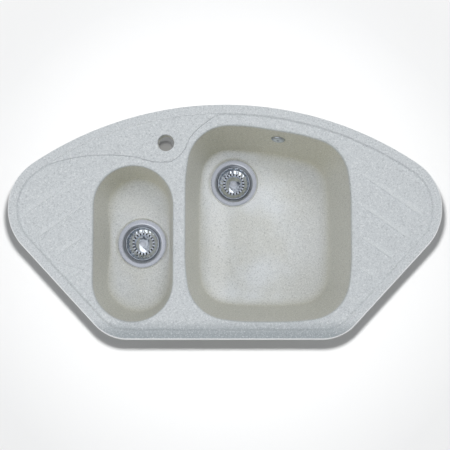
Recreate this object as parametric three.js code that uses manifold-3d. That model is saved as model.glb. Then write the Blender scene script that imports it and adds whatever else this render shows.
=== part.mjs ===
// Corner kitchen sink. One composite moulding holds two bowls, a drainer on each side and a raised
// tap ledge. Each bowl has a basket waste, the large bowl has an overflow, and eight clips hold the
// moulding down in its worktop cut-out.
// Millimetres, +Z up, +Y to the back. z = 0 is the worktop; the origin is in the middle of the front
// seat band, under the rim.

import * as THREE from 'three';
import { mergeVertices } from 'three/addons/utils/BufferGeometryUtils.js';
import Module from 'manifold-3d';

const wasm = await Module();
wasm.setup();

// ------------------------------------------------------------------ driving dimensions

// Moulding from above, across the front: drainer, small bowl, bridge, large bowl, drainer
const leftDrainerWidth = 187;
const smallBowlWidth = 174;
const bridgeWidth = 27;
const mainBowlWidth = 363;
const rightDrainerWidth = 199;

// Moulding from above, front to back on the large bowl's centre line
const frontLedge = 39;
const mainBowlLength = 421;
const backLedge = 55;
const smallBowlLength = 340;

// Outline of the moulding
const backRadius = 750;
const endRadius = 120;
const frontCornerRadius = 100;
const frontCornerInset = 35; // front corners lie this far inside the small bowl's outer side
const seatInset = 10; // origin to the front edge

// Outline of the large bowl
const mainBackSlope = 9.3; // degrees that its back edge turns away to the right
const mainCornerRadius = 91;
const mainEaseRadius = 450; // each side bows gently into its corners
const mainEaseAngle = 9; // degrees of that bow at each end of a corner

// Rim and plate, as heights above and below the worktop
const rimHeight = 10;
const rimStep = 5; // drainers below the rim
const ledgeDrop = 1.5; // tap ledge below the rim
const ledgeSlopeWidth = 2.5;
const plateDrop = 3; // underside of the plate inside the cut-out
const rimTopWidth = 20;
const rimSlopeWidth = 5;
const rimEdgeRadius = 3;
const skirtInset = 19; // worktop cut-out line, from the outer edge
const skirtThickness = 5;
const skirtDepth = 14;

// Bowls
const bowlWall = 8;
const bowlDraft = 8; // degrees
const bowlEdgeRadius = 5;
const mainBowlDepth = 190; // rim to floor
const smallBowlDepth = 130;
const mainFloorRadius = 20;
const smallFloorRadius = 4;
const floorFall = 3; // towards the waste
const mainWasteX = 109; // from the large bowl's left side
const mainWasteY = 324; // from its front side
const smallWasteX = 91;
const smallWasteY = 172;

// Dished seat of a waste
const dishRadius = 60.5;
const dishSlope = 2.5;
const dishDepth = 3;

// Tap hole and its ledge
const tapHoleDiameter = 35;
const tapBossDiameter = 56;
const tapBossDepth = 14; // below the worktop's top
const tapFromBridge = 29; // to the left of the middle of the bridge
const tapFromBack = 75; // in front of the back edge there

// Front edge of the tap ledge, as places to the right and to the back of the tap hole's middle
const ledgeFront = [
  [-390, -120],
  [-330, -86],
  [-270, -52],
  [-198, -31],
  [-128, -25.5],
  [-70, -29.5],
  [-20, -41],
  [15, -37.5],
  [38, -16.5],
  [54, 15.5],
  [78, 39.5],
  [112, 62.5],
  [160, 80],
  [210, 92],
];

// Drainer ridges
const ridgeCount = 4;
const ridgePitch = 69.5;
const ridgeAngle = 35; // degrees, falling outwards to the front
const ridgeHeight = 2;
const ridgeRise = 15; // run of the long back slope
const ridgeDrop = 2.5; // run of the steep front slope
const ridgeTaper = 14; // length of each pointed end
const ridgeShortest = 30; // a place with less room gets no ridge
const ridgeCrestWidth = 0.8;
const ridgeFromBowl = 17;
const ridgeFromEdge = 35;
const ridgeFromBack = 151; // highest ridge, from the middle of the back edge

// Basket waste
const flangeDiameter = 114;
const sheetThickness = 1.2;
const cupTopRadius = 45;
const cupFootRadius = 39;
const cupDepth = 32; // flange lip to the inside of the cup's foot
const cupFootBend = 1.5;
const lipHeight = 1.8; // rolled edge of the flange above its seal
const lipInnerBend = 5;
const lipOuterBend = 2.5;
const cupHoleCount = 6;
const cupHoleRadius = 7;
const cupHolePitchRadius = 18;
const sealThickness = 1.5;
const sealInset = 1.5; // seals and gaskets lie this far inside the edges that they seal
const gasketThickness = 2.5;
const basketRimRadius = 40;
const basketFootRadius = 26.5;
const basketHeight = 22;
const basketDomeRadius = 22.5;
const basketDomeHeight = 5;
const basketHoleCount = 20;
const basketHoleRadius = 1.6;
const basketWallRadius = 35; // foot of its steep wall
const basketSlopeRise = 4; // of the fluted slope between its foot and its wall
const basketRimWidth = 1.5;
const basketRimRoll = 1.5;
const fluteDepth = 0.8;
const knobRadius = 7;
const knobHeight = 8.5;
const knobNeckRadius = 4;
const knobNeckHeight = 4;
const knobCrown = 1;
const stemRadius = 3;
const stemGrip = 2; // depth of the stem's tip in the centre screw's head
const stopperRadius = 28;
const stopperThickness = 3;
const stopperEdge = 1;
const stopperRecessGap = 1; // round the centre screw's head
const stopperHubWall = 2;
const wasteScrewRadius = 3;
const wasteScrewLength = 20; // below its head
const wasteScrewHeadRadius = 6.5;
const wasteScrewHeadHeight = 4;
const wasteScrewHeadEdge = 0.8;
const bodyWall = 2.5;
const bodyCupGap = 1; // between the cup and the body
const bodyFlangeRadius = 55;
const bodyFlangeThickness = 5;
const bodyDrumHeight = 26; // below the flange
const bodyConeHeight = 17;
const bodyLength = 75; // top flange to the end of the outlet
const outletDiameter = 47.8; // 1 1/2 inch waste thread
const outletWall = 4.4;
const bushRadius = 8;
const bushWebCount = 3;
const bushWebThickness = 3;

// Overflow
const overflowFromMiddle = 28; // to the right of the large bowl's centre line
const overflowDrop = 61; // below the rim
const overflowHoleRadius = 11.5;
const overflowPadRadius = 23;
const overflowPadHeight = 1;
const rosetteRadius = 16;
const rosetteHeight = 5;
const rosetteEdge = 1.2; // straight part of its edge
const rosetteFlatness = 6; // power of the curve from its flat face to its edge
const rosetteSinkRadius = 5.5;
const rosetteSinkDepth = 2;
const rosetteNotchCount = 6;
const rosetteNotchWidth = 4;
const elbowFlangeRadius = 19;
const elbowFlangeThickness = 4;
const elbowDepth = 26; // chamber behind the flange
const elbowWall = 2.2;
const overflowScrewRadius = 2.5;
const overflowScrewLength = 16; // below its head
const overflowScrewHeadRadius = 4.5;
const overflowScrewHeadHeight = 1.8;
const overflowScrewCrown = 0.3;
const overflowScrewProud = 0.6; // of the rosette
const pipeRadius = 10;
const pipeWall = 1.8;
const pipeBend = 30;
const socketDepth = 16;
const socketStop = 2; // step at the bottom of a socket
const slipNutWidth = 12;
const slipNutWall = 3;
const slipNutLip = 2;
const slipNutGrip = 0.4; // depth of its ribs, in and out
const slipNutRoom = 1; // between the lower nut and the body's flange

// Clips
const clipInset = 28; // screw axis, from the outer edge
const clipBossRadius = 6;
const clipBossDepth = 16; // below the worktop's top
const worktopThickness = 38;
const clawReach = 24;
const clawWidth = 14;
const clawTipWidth = 9;
const clawThickness = 7;
const clawToothHeight = 3;
const clawToothLength = 5;
const clawCorner = 1.5;
const clipScrewRadius = 2.5;
const clipScrewHeadRadius = 4.6;
const clipScrewHeadHeight = 4;
const clipScrewGrip = 9; // length inside the boss
const sideClipShare = 0.62; // along each straight side, from the front
const backClipShares = [0.04, 0.21, 0.6, 0.93]; // along the back arc, right to left

const clearance = 0.3; // between pieces that touch or run
const overlap = 1; // shapes that are joined or cut run this far past each other
const mergeDistance = 1e-5;

// Facets
const chordError = 0.9; // of the large outlines
const roundSides = 20; // of wide round pieces
const mediumSides = 16;
const smallSides = 10;
const clipSides = 6;
const basketHoleSides = 5;
const edgeSteps = 2; // of a bowl's top edge and of the rim's outer edge
const slopeSteps = 3; // of the slope inside the rim
const footSteps = 3; // of a bowl's foot
const ledgeSteps = 32;
const bendSteps = 6; // of the overflow pipe

// ------------------------------------------------------------------ derived places

const radians = (degrees) => (degrees * Math.PI) / 180;
const overallWidth = leftDrainerWidth + smallBowlWidth + bridgeWidth + mainBowlWidth + rightDrainerWidth;
const overallDepth = frontLedge + mainBowlLength + backLedge;
const frontY = -seatInset;
const backY = frontY + overallDepth;
const bowlFrontY = frontY + frontLedge;
const smallLeftX = leftDrainerWidth - overallWidth / 2;
const smallRightX = smallLeftX + smallBowlWidth;
const mainLeftX = smallRightX + bridgeWidth;
const mainRightX = mainLeftX + mainBowlWidth;
const bridgeX = (smallRightX + mainLeftX) / 2;
const mainMiddleX = (mainLeftX + mainRightX) / 2;
const backSlope = radians(mainBackSlope);
const deckZ = rimHeight - rimStep;
const ledgeZ = rimHeight - ledgeDrop;
const dishBelowFloor = floorFall + dishDepth;

/** Back edge of the large bowl at a given x, before its corners are rounded. */
const mainBackAt = (x) => bowlFrontY + mainBowlLength - Math.tan(backSlope) * (x - mainMiddleX);

/** Radius of a bore whose flat sides all clear a round piece. */
const boreFor = (radius, sides) => (radius + clearance) / Math.cos(Math.PI / sides);

// ------------------------------------------------------------------ outlines

/** The unit vector at an angle. */
const unit = (angle) => ({ x: Math.cos(angle), y: Math.sin(angle) });

/** Adds an arc to an outline, as points with outward normals, between two normal angles. */
function addArc(outline, centre, radius, from, to) {
  const step = 2 * Math.acos(1 - Math.min(0.5, chordError / radius));
  const count = Math.max(1, Math.ceil((to - from) / step));
  for (let i = 0; i <= count; i++) {
    const normal = unit(from + ((to - from) * i) / count);
    const point = { x: centre.x + radius * normal.x, y: centre.y + radius * normal.y, normal };
    const meets = (other) => other && Math.hypot(other.x - point.x, other.y - point.y) < clearance;
    if (!meets(outline[outline.length - 1]) && !meets(outline[0])) outline.push(point);
  }
}

/** Adds an arc in two halves that meet at a given angle, so that the outline reaches its full size. */
function addArcThrough(outline, centre, radius, from, middle, to) {
  addArc(outline, centre, radius, from, middle);
  addArc(outline, centre, radius, middle, to);
}

/** The same outline moved inwards by a distance (outwards when it is negative), at height z. */
function ringAt(outline, inset, z) {
  return outline.map(({ x, y, normal }) => new THREE.Vector3(x - inset * normal.x, y - inset * normal.y, z));
}

/** Half plan of the moulding's right end: where its arcs have their centres and turn over. */
function endGeometry() {
  const half = overallWidth / 2;
  const backCentre = { x: 0, y: backY - backRadius };
  const endX = half - endRadius;
  const endCentre = { x: endX, y: backCentre.y + Math.sqrt((backRadius - endRadius) ** 2 - endX ** 2) };
  const corner = { x: -smallLeftX - frontCornerInset, y: frontY };
  const toEnd = { x: endCentre.x - corner.x, y: endCentre.y - corner.y };
  const sideAngle = Math.atan2(toEnd.y, toEnd.x) - Math.asin(endRadius / Math.hypot(toEnd.x, toEnd.y));
  const tangent = frontCornerRadius * Math.tan(sideAngle / 2);
  return {
    backCentre,
    endCentre,
    backAngle: Math.atan2(endCentre.y - backCentre.y, endCentre.x),
    sideAngle,
    cornerCentre: { x: corner.x - tangent, y: frontY + frontCornerRadius },
  };
}

const end = endGeometry();

/** Outline of the moulding: front corners, straight sides, round ends and one long back arc. */
function basinOutline() {
  const sideNormal = end.sideAngle - Math.PI / 2;
  const mirrored = (centre) => ({ x: -centre.x, y: centre.y });
  const outline = [];
  addArc(outline, end.cornerCentre, frontCornerRadius, -Math.PI / 2, sideNormal);
  addArcThrough(outline, end.endCentre, endRadius, sideNormal, 0, end.backAngle);
  addArcThrough(outline, end.backCentre, backRadius, end.backAngle, Math.PI / 2, Math.PI - end.backAngle);
  const leftEnd = mirrored(end.endCentre);
  addArcThrough(outline, leftEnd, endRadius, Math.PI - end.backAngle, Math.PI, Math.PI - sideNormal);
  addArc(outline, mirrored(end.cornerCentre), frontCornerRadius, Math.PI - sideNormal, 1.5 * Math.PI);
  return outline;
}

/** Small bowl: two half circles joined by straight sides. */
function smallBowlOutline() {
  const radius = smallBowlWidth / 2;
  const x = smallLeftX + radius;
  const outline = [];
  addArc(outline, { x, y: bowlFrontY + smallBowlLength - radius }, radius, 0, Math.PI);
  addArc(outline, { x, y: bowlFrontY + radius }, radius, Math.PI, 2 * Math.PI);
  return outline;
}

/** Chord of a corner that turns from one normal angle to another, easing in and out. */
function cornerChord(from, to, radius, easeRadius, easeAngle) {
  const a = unit(from);
  const b = unit(from + easeAngle);
  const c = unit(to - easeAngle);
  const d = unit(to);
  return {
    x: easeRadius * (b.x - a.x + d.x - c.x) + radius * (c.x - b.x),
    y: easeRadius * (b.y - a.y + d.y - c.y) + radius * (c.y - b.y),
  };
}

/** Distance from a sharp corner to where its rounding begins. */
function cornerReach(from, to, radius, easeRadius, easeAngle) {
  const chord = cornerChord(from, to, radius, easeRadius, easeAngle);
  return Math.hypot(chord.x, chord.y) / (2 * Math.cos((to - from) / 2));
}

/** Large bowl: four eased corners on a front edge, two sides and a back edge that slopes away. */
function mainBowlOutline() {
  const backNormal = Math.PI / 2 - backSlope;
  const corners = [
    { x: mainRightX, y: bowlFrontY, from: -Math.PI / 2, to: 0 },
    { x: mainRightX, y: mainBackAt(mainRightX), from: 0, to: backNormal },
    { x: mainLeftX, y: mainBackAt(mainLeftX), from: backNormal, to: Math.PI },
    { x: mainLeftX, y: bowlFrontY, from: Math.PI, to: 1.5 * Math.PI },
  ];
  const easeAngle = radians(mainEaseAngle);
  const shortestSide = Math.min(mainBowlWidth, mainBackAt(mainRightX) - bowlFrontY);
  const widestTurn = Math.max(...corners.map(({ from, to }) => to - from));
  const reach = (easeRadius) => cornerReach(0, widestTurn, mainCornerRadius, easeRadius, easeAngle);
  const reachPerMm = reach(1) - reach(0);
  const easeRadius = Math.min(mainEaseRadius, (shortestSide / 2 - reach(0)) / reachPerMm);
  const outline = [];
  for (const { x, y, from, to } of corners) {
    const tangent = cornerReach(from, to, mainCornerRadius, easeRadius, easeAngle);
    const travel = unit(from + Math.PI / 2);
    let point = { x: x - tangent * travel.x, y: y - tangent * travel.y };
    const parts = [
      [easeRadius, from, from + easeAngle],
      [mainCornerRadius, from + easeAngle, to - easeAngle],
      [easeRadius, to - easeAngle, to],
    ];
    for (const [radius, start, stop] of parts) {
      const normal = unit(start);
      const centre = { x: point.x - radius * normal.x, y: point.y - radius * normal.y };
      addArc(outline, centre, radius, start, stop);
      point = outline[outline.length - 1];
    }
  }
  return outline;
}

// ------------------------------------------------------------------ solids from rings

/** Triangles that fill a flat ring, facing up or down. */
function capTriangles(ring, offset, up) {
  const flat = ring.map(({ x, y }) => new THREE.Vector2(x, y));
  return THREE.ShapeUtils.triangulateShape(flat, []).flatMap(([a, b, c]) => {
    const turn = flat[b].clone().sub(flat[a]).cross(flat[c].clone().sub(flat[a]));
    const order = turn > 0 === up ? [a, b, c] : [a, c, b];
    return order.map((index) => index + offset);
  });
}

/**
 * A closed surface through rings of equal length, each counter-clockwise about the way they run.
 * An open stack gets flat ends, or a pole where a ring is one point; a looped stack closes on itself.
 */
function skin(rings, looped = false) {
  const points = rings.flat();
  const starts = [];
  let total = 0;
  for (const ring of rings) {
    starts.push(total);
    total += ring.length;
  }
  const triangles = [];
  const pairs = looped ? rings.length : rings.length - 1;
  for (let k = 0; k < pairs; k++) {
    const next = (k + 1) % rings.length;
    const count = Math.max(rings[k].length, rings[next].length);
    for (let i = 0; i < count; i++) {
      const at = (ring, index) => starts[ring] + (index % rings[ring].length);
      if (rings[k].length > 1) triangles.push(at(k, i), at(k, i + 1), at(next, i + 1));
      if (rings[next].length > 1) triangles.push(at(k, i), at(next, i + 1), at(next, i));
    }
  }
  const last = rings.length - 1;
  if (!looped && rings[0].length > 1) triangles.push(...capTriangles(rings[0], 0, false));
  if (!looped && rings[last].length > 1) triangles.push(...capTriangles(rings[last], starts[last], true));
  const coordinates = points.flatMap(({ x, y, z }) => [x, y, z]);
  const geometry = new THREE.BufferGeometry();
  geometry.setAttribute('position', new THREE.Float32BufferAttribute(coordinates, 3));
  geometry.setIndex(triangles);
  return geometry;
}

/** A stack of rings of one outline, from [inset, z] pairs given from the top down. */
const stack = (outline, levels) => skin(levels.map(([inset, z]) => ringAt(outline, inset, z)).reverse());

/** A circle about the z axis; ripple moves every other point out and in, lift up and down. */
function circle(radius, z, sides, ripple = 0, lift = 0) {
  if (radius === 0) return [new THREE.Vector3(0, 0, z)];
  return Array.from({ length: sides }, (_, i) => {
    const { x, y } = unit((2 * Math.PI * i) / sides);
    const sign = i % 2 ? 1 : -1;
    return new THREE.Vector3((radius + sign * ripple) * x, (radius + sign * ripple) * y, z + sign * lift);
  });
}

/**
 * A turned solid from [radius, z, ripple, lift] points. The profile runs up its outer side: either
 * from the axis to the axis, or round a loop that goes back down the bore.
 */
function turned(profile, sides) {
  const looped = profile[0][0] > 0;
  return skin(profile.map(([radius, z, ...waves]) => circle(radius, z, sides, ...waves)), looped);
}

/** A plain upright cylinder. */
function cylinder(radius, bottom, top, sides) {
  const profile = [
    [0, bottom],
    [radius, bottom],
    [radius, top],
    [0, top],
  ];
  return turned(profile, sides);
}

/** The loop round a bent sheet: its middle line [radius, z, ripple, lift], thickened to both sides. */
function sheet(middle, thickness) {
  const side = (sign) =>
    middle.map(([radius, z, ...waves], i) => {
      const [r0, z0] = middle[Math.max(0, i - 1)];
      const [r1, z1] = middle[Math.min(middle.length - 1, i + 1)];
      const length = Math.hypot(r1 - r0, z1 - z0);
      const shift = (sign * thickness) / 2 / length;
      return [radius + shift * (z1 - z0), z - shift * (r1 - r0), ...waves];
    });
  return [...side(1), ...side(-1).reverse()];
}

/** A geometry as a solid that can be joined and cut. */
function solid(geometry) {
  const bare = geometry.clone();
  bare.deleteAttribute('normal');
  bare.deleteAttribute('uv');
  const merged = mergeVertices(bare, mergeDistance);
  return new wasm.Manifold(
    new wasm.Mesh({
      numProp: 3,
      vertProperties: new Float32Array(merged.attributes.position.array),
      triVerts: new Uint32Array(merged.index.array),
    }),
  );
}

/** A joined or cut solid as a geometry again. */
function geometryOf(manifold) {
  const { vertProperties, triVerts } = manifold.getMesh();
  const geometry = new THREE.BufferGeometry();
  geometry.setAttribute('position', new THREE.BufferAttribute(new Float32Array(vertProperties), 3));
  geometry.setIndex(new THREE.BufferAttribute(new Uint32Array(triVerts), 1));
  return geometry;
}

/** Solids joined into one. */
const join = (geometries) => geometries.map(solid).reduce((whole, piece) => whole.add(piece));

/** A geometry moved to a place. */
const moved = (geometry, x, y, z) => geometry.clone().translate(x, y, z);

/** A geometry turned about the z axis, in radians. */
const spun = (geometry, angle) => geometry.clone().rotateZ(angle);

/** Copies of a geometry evenly round the z axis. */
const around = (geometry, count, start = 0) =>
  Array.from({ length: count }, (_, i) => spun(geometry, start + (2 * Math.PI * i) / count));

// ------------------------------------------------------------------ materials

const finish = (color, roughness, metalness) =>
  new THREE.MeshStandardMaterial({ color, roughness, metalness });
const composite = finish(0xc9cbcb, 0.55, 0);
const brushedSteel = finish(0xb9bab8, 0.35, 1);
const polishedSteel = finish(0xd0d1d0, 0.15, 1);
const blackRubber = finish(0x1d1d1d, 0.8, 0);
const whitePlastic = finish(0xd9d9d4, 0.5, 0);
const greyPlastic = finish(0x5c5f61, 0.55, 0);
const zincSteel = finish(0xa6a8a8, 0.4, 1);

const sink = new THREE.Group();

/** Adds a named piece to a group. */
function addPiece(group, name, shape, material) {
  const geometry = shape instanceof THREE.BufferGeometry ? shape : geometryOf(shape);
  const piece = new THREE.Mesh(geometry, material);
  piece.name = name;
  group.add(piece);
}

// ------------------------------------------------------------------ moulding

const basin = basinOutline();
const bowls = {
  main: {
    outline: mainBowlOutline(),
    waste: { x: mainLeftX + mainWasteX, y: bowlFrontY + mainWasteY },
    floorZ: rimHeight - mainBowlDepth,
    floorRadius: mainFloorRadius,
  },
  small: {
    outline: smallBowlOutline(),
    waste: { x: smallLeftX + smallWasteX, y: bowlFrontY + smallWasteY },
    floorZ: rimHeight - smallBowlDepth,
    floorRadius: smallFloorRadius,
  },
};
const wasteHoleRadius = cupTopRadius + sheetThickness + 2 * clearance;

/** Rim, its inner slope and the plate that carries the drainers, as one stack of outline rings. */
function plateGeometry() {
  const levels = [];
  for (let i = 0; i <= slopeSteps; i++) {
    const share = i / slopeSteps;
    const rise = rimStep * THREE.MathUtils.smoothstep(share, 0, 1);
    levels.push([rimTopWidth + rimSlopeWidth * (1 - share), deckZ + rise]);
  }
  for (let i = 0; i <= edgeSteps; i++) {
    const { x: up, y: outwards } = unit((Math.PI / 2) * (i / edgeSteps));
    levels.push([rimEdgeRadius * (1 - outwards), rimHeight - rimEdgeRadius * (1 - up)]);
  }
  levels.push([0, 0], [skirtInset, 0], [skirtInset, -plateDrop]);
  return stack(basin, levels);
}

/** Skirt that stands down into the cut-out. */
function skirtGeometry() {
  const inner = skirtInset + skirtThickness;
  const loop = [
    [skirtInset, -skirtDepth],
    [skirtInset, -plateDrop / 2],
    [inner, -plateDrop / 2],
    [inner, -skirtDepth],
  ];
  return skin(loop.map(([inset, z]) => ringAt(basin, inset, z)), true);
}

/** Point of the back edge at a given x. */
const backEdgeY = (x) => end.backCentre.y + Math.sqrt(backRadius ** 2 - x ** 2);

const tap = { x: bridgeX - tapFromBridge, y: backEdgeY(bridgeX - tapFromBridge) - tapFromBack };

/** Tap ledge: a flat a little above the drainers, with a flowing front edge round the tap hole. */
function ledgeSolid() {
  const places = ledgeFront.map(([x, y]) => new THREE.Vector3(tap.x + x, tap.y + y, 0));
  const curve = new THREE.CatmullRomCurve3(places, false, 'centripetal');
  const edge = curve.getSpacedPoints(ledgeSteps);
  const behind = Math.max(backY, edge[ledgeSteps].y) + overlap;
  const ring = (outset, z) => [
    ...edge.map((point, i) => {
      const tangent = curve.getTangentAt(i / ledgeSteps);
      return new THREE.Vector3(point.x + outset * tangent.y, point.y - outset * tangent.x, z);
    }),
    new THREE.Vector3(edge[ledgeSteps].x, behind, z),
    new THREE.Vector3(edge[0].x, behind, z),
  ];
  const flowing = skin([ring(ledgeSlopeWidth, 0), ring(ledgeSlopeWidth, deckZ), ring(0, ledgeZ)]);
  const insideRim = [rimHeight, 0].map((z) => [rimTopWidth / 2, z]);
  return solid(flowing).intersect(solid(stack(basin, insideRim)));
}

/** Distance along a line from a point to an inset outline; 0 where the line misses it. */
function reachTo(outline, inset, start, direction) {
  const ring = ringAt(outline, inset, 0);
  let reach = Infinity;
  ring.forEach((a, i) => {
    const b = ring[(i + 1) % ring.length];
    const ex = b.x - a.x;
    const ey = b.y - a.y;
    const cross = direction.x * ey - direction.y * ex;
    const along = ((a.x - start.x) * ey - (a.y - start.y) * ex) / cross;
    const across = ((a.x - start.x) * direction.y - (a.y - start.y) * direction.x) / cross;
    if (along > 0 && across >= 0 && across <= 1) reach = Math.min(reach, along);
  });
  return Number.isFinite(reach) ? reach : 0;
}

/** Direction of a ridge down the drainer on the left (side -1) or on the right (side 1). */
const ridgeAlong = (side) => {
  const { x, y } = unit(radians(ridgeAngle));
  return { x: side * x, y: -y };
};

/** One drainer ridge: a long slope up from the back and a short drop at the front, ends pointed. */
function ridgeGeometry({ start, side, length }) {
  const along = ridgeAlong(side);
  const back = { x: -side * along.y, y: side * along.x };
  const taperEnd = length - ridgeTaper;
  const crestStart = ridgeTaper + ridgeCrestWidth;
  const crestEnd = taperEnd - ridgeCrestWidth;
  const ring = (z, places) =>
    places.map(([t, s]) => {
      const x = start.x + t * along.x + s * back.x;
      const y = start.y + t * along.y + s * back.y;
      return new THREE.Vector3(x, y, z);
    });
  const foot = [
    [0, 0],
    [ridgeTaper, -ridgeDrop],
    [taperEnd, -ridgeDrop],
    [length, 0],
    [taperEnd, ridgeRise],
    [ridgeTaper, ridgeRise / 2],
  ];
  const crest = [
    [ridgeTaper, 0],
    [crestStart, 0],
    [crestEnd, 0],
    [taperEnd, 0],
    [crestEnd, ridgeCrestWidth],
    [crestStart, ridgeCrestWidth],
  ];
  const rings = [ring(deckZ - overlap, foot), ring(deckZ, foot), ring(deckZ + ridgeHeight, crest)];
  return skin(side > 0 ? rings : rings.map((ring) => ring.slice().reverse()));
}

/** All ridges of both drainers, each as long as there is room in front of the rim. */
function ridgeGeometries() {
  const firstY = backY - ridgeFromBack;
  const placed = (x, y, side) => {
    const start = { x, y };
    return { start, side, length: reachTo(basin, ridgeFromEdge, start, ridgeAlong(side)) };
  };
  return Array.from({ length: ridgeCount }, (_, i) => firstY - i * ridgePitch)
    .flatMap((y) => [
      placed(smallLeftX - ridgeFromBowl, y, -1),
      placed(mainRightX + ridgeFromBowl, y, 1),
    ])
    .filter(({ length }) => length > ridgeShortest)
    .map(ridgeGeometry);
}

/** A circle round a waste with one point for each point of the bowl's outline, seen from the waste. */
function wasteRing({ outline, waste }, radius, z) {
  return outline.map(({ x, y }) => {
    const { x: ux, y: uy } = unit(Math.atan2(y - waste.y, x - waste.x));
    return new THREE.Vector3(waste.x + radius * ux, waste.y + radius * uy, z);
  });
}

/**
 * A bowl's inner surface, or its outer one when thickness is the wall: rounded top edge, drafted
 * wall, rounded foot and a floor that falls to a circle round the waste.
 */
function bowlGeometry(bowl, thickness) {
  const { outline, floorZ, floorRadius } = bowl;
  const draft = radians(bowlDraft);
  const wallTop = deckZ - bowlEdgeRadius;
  const wallHeight = wallTop - floorZ - floorRadius * (1 - Math.sin(draft));
  const footInset = floorRadius * Math.cos(draft) + wallHeight * Math.tan(draft);
  const levels = [];
  if (thickness > 0) {
    levels.push([-thickness, 0]);
  } else {
    levels.push([-bowlEdgeRadius, rimHeight + overlap]);
    for (let i = 0; i <= edgeSteps; i++) {
      const { x: up, y: inwards } = unit((Math.PI / 2) * (i / edgeSteps));
      levels.push([-bowlEdgeRadius * (1 - inwards), wallTop + bowlEdgeRadius * up]);
    }
  }
  for (let i = 0; i <= footSteps; i++) {
    const { x: outwards, y: down } = unit(draft + (Math.PI / 2 - draft) * (i / footSteps));
    const radius = floorRadius + thickness;
    levels.push([footInset - radius * outwards, floorZ + floorRadius - radius * down]);
  }
  const rings = levels.map(([inset, z]) => ringAt(outline, inset, z));
  rings.push(wasteRing(bowl, dishRadius, floorZ - floorFall - thickness));
  return skin(rings.reverse());
}

/** Dished seat and hole of a waste, to cut out of a bowl's floor. */
function wasteCutter({ waste, floorZ }) {
  const dishZ = floorZ - dishBelowFloor;
  const below = dishZ - bowlWall - overlap;
  const profile = [
    [0, below],
    [wasteHoleRadius, below],
    [wasteHoleRadius, dishZ],
    [dishRadius - dishSlope, dishZ],
    [dishRadius, floorZ - floorFall],
    [dishRadius, floorZ],
    [0, floorZ],
  ];
  return moved(turned(profile, roundSides), waste.x, waste.y, 0);
}

/** Flat pad under a waste, for the gasket of its body. */
function wastePad({ waste, floorZ }) {
  const bottom = floorZ - dishBelowFloor - bowlWall;
  const top = floorZ - floorFall - bowlWall / 2;
  return moved(cylinder(dishRadius, bottom, top, roundSides), waste.x, waste.y, 0);
}

/** Frame of the overflow: x runs along the bowl's back wall, y up it and z out through it. */
function overflowFrame() {
  const x = mainMiddleX + overflowFromMiddle;
  const z = rimHeight - overflowDrop;
  const draft = radians(bowlDraft);
  const inset = (deckZ - bowlEdgeRadius - z) * Math.tan(draft);
  const across = new THREE.Vector3(Math.cos(backSlope), -Math.sin(backSlope), 0);
  const level = new THREE.Vector3(Math.sin(backSlope), Math.cos(backSlope), 0);
  const outward = level.clone().multiplyScalar(Math.cos(draft)).setZ(-Math.sin(draft));
  const upward = new THREE.Vector3().crossVectors(outward, across);
  const origin = new THREE.Vector3(x, mainBackAt(x), z).addScaledVector(level, -inset);
  return new THREE.Matrix4().makeBasis(across, upward, outward).setPosition(origin);
}

const overflow = overflowFrame();

/** A geometry built along the overflow axis, put in its place in the wall. */
const inWall = (geometry) => geometry.clone().applyMatrix4(overflow);

// ------------------------------------------------------------------ clips: where they are

/** Stations of the clips: a point of the outer edge and the outward direction there. */
function clipStations() {
  const sideNormal = end.sideAngle - Math.PI / 2;
  const onArc = (centre, radius, angle) => {
    const normal = unit(angle);
    return { x: centre.x + radius * normal.x, y: centre.y + radius * normal.y, normal };
  };
  const onSide = (share, mirror) => {
    const low = onArc(end.cornerCentre, frontCornerRadius, sideNormal);
    const high = onArc(end.endCentre, endRadius, sideNormal);
    const x = low.x + (high.x - low.x) * share;
    const y = low.y + (high.y - low.y) * share;
    return { x: mirror * x, y, normal: { x: mirror * low.normal.x, y: low.normal.y } };
  };
  const backSpan = Math.PI - 2 * end.backAngle;
  return [
    { x: bridgeX, y: frontY, normal: unit(-Math.PI / 2) },
    onArc(end.cornerCentre, frontCornerRadius, (sideNormal - Math.PI / 2) / 2),
    onSide(sideClipShare, 1),
    ...backClipShares.map((share) => onArc(end.backCentre, backRadius, end.backAngle + backSpan * share)),
    onSide(sideClipShare, -1),
  ].map(({ x, y, normal }) => ({
    x: x - clipInset * normal.x,
    y: y - clipInset * normal.y,
    angle: Math.atan2(normal.y, normal.x),
  }));
}

const stations = clipStations();
const clipBoreRadius = boreFor(clipScrewRadius, clipSides);
const sealFace = bowlWall + overflowPadHeight; // outer face of the overflow's pad, from the bowl's wall

/** The whole moulding: everything that is added, then everything that is cut. */
function mouldingSolid() {
  const wastes = [bowls.main, bowls.small];
  const tapRound = (diameter, bottom, top) =>
    moved(cylinder(diameter / 2, bottom, top, roundSides), tap.x, tap.y, 0);
  const clipBoss = cylinder(clipBossRadius, -clipBossDepth, 0, clipSides);
  const clipBoreTop = -clipBossDepth + clipScrewGrip + overlap;
  const clipBore = cylinder(clipBoreRadius, -clipBossDepth - overlap, clipBoreTop, clipSides);
  const added = [
    plateGeometry(),
    skirtGeometry(),
    ...ridgeGeometries(),
    ...wastes.map((bowl) => bowlGeometry(bowl, bowlWall)),
    ...wastes.map(wastePad),
    tapRound(tapBossDiameter, -tapBossDepth, 0),
    inWall(cylinder(overflowPadRadius, bowlWall / 2, sealFace, mediumSides)),
    ...stations.map(({ x, y }) => moved(clipBoss, x, y, 0)),
  ];
  const cut = [
    ...wastes.map((bowl) => bowlGeometry(bowl, 0)),
    ...wastes.map(wasteCutter),
    tapRound(tapHoleDiameter, -tapBossDepth - overlap, rimHeight),
    inWall(cylinder(overflowHoleRadius, -bowlWall, sealFace + overlap, mediumSides)),
    ...stations.map(({ x, y, angle }) => moved(spun(clipBore, angle), x, y, 0)),
  ];
  return join(added).add(ledgeSolid()).subtract(join(cut));
}

addPiece(sink, 'sink_moulding', mouldingSolid(), composite);

// ------------------------------------------------------------------ basket wastes

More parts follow.
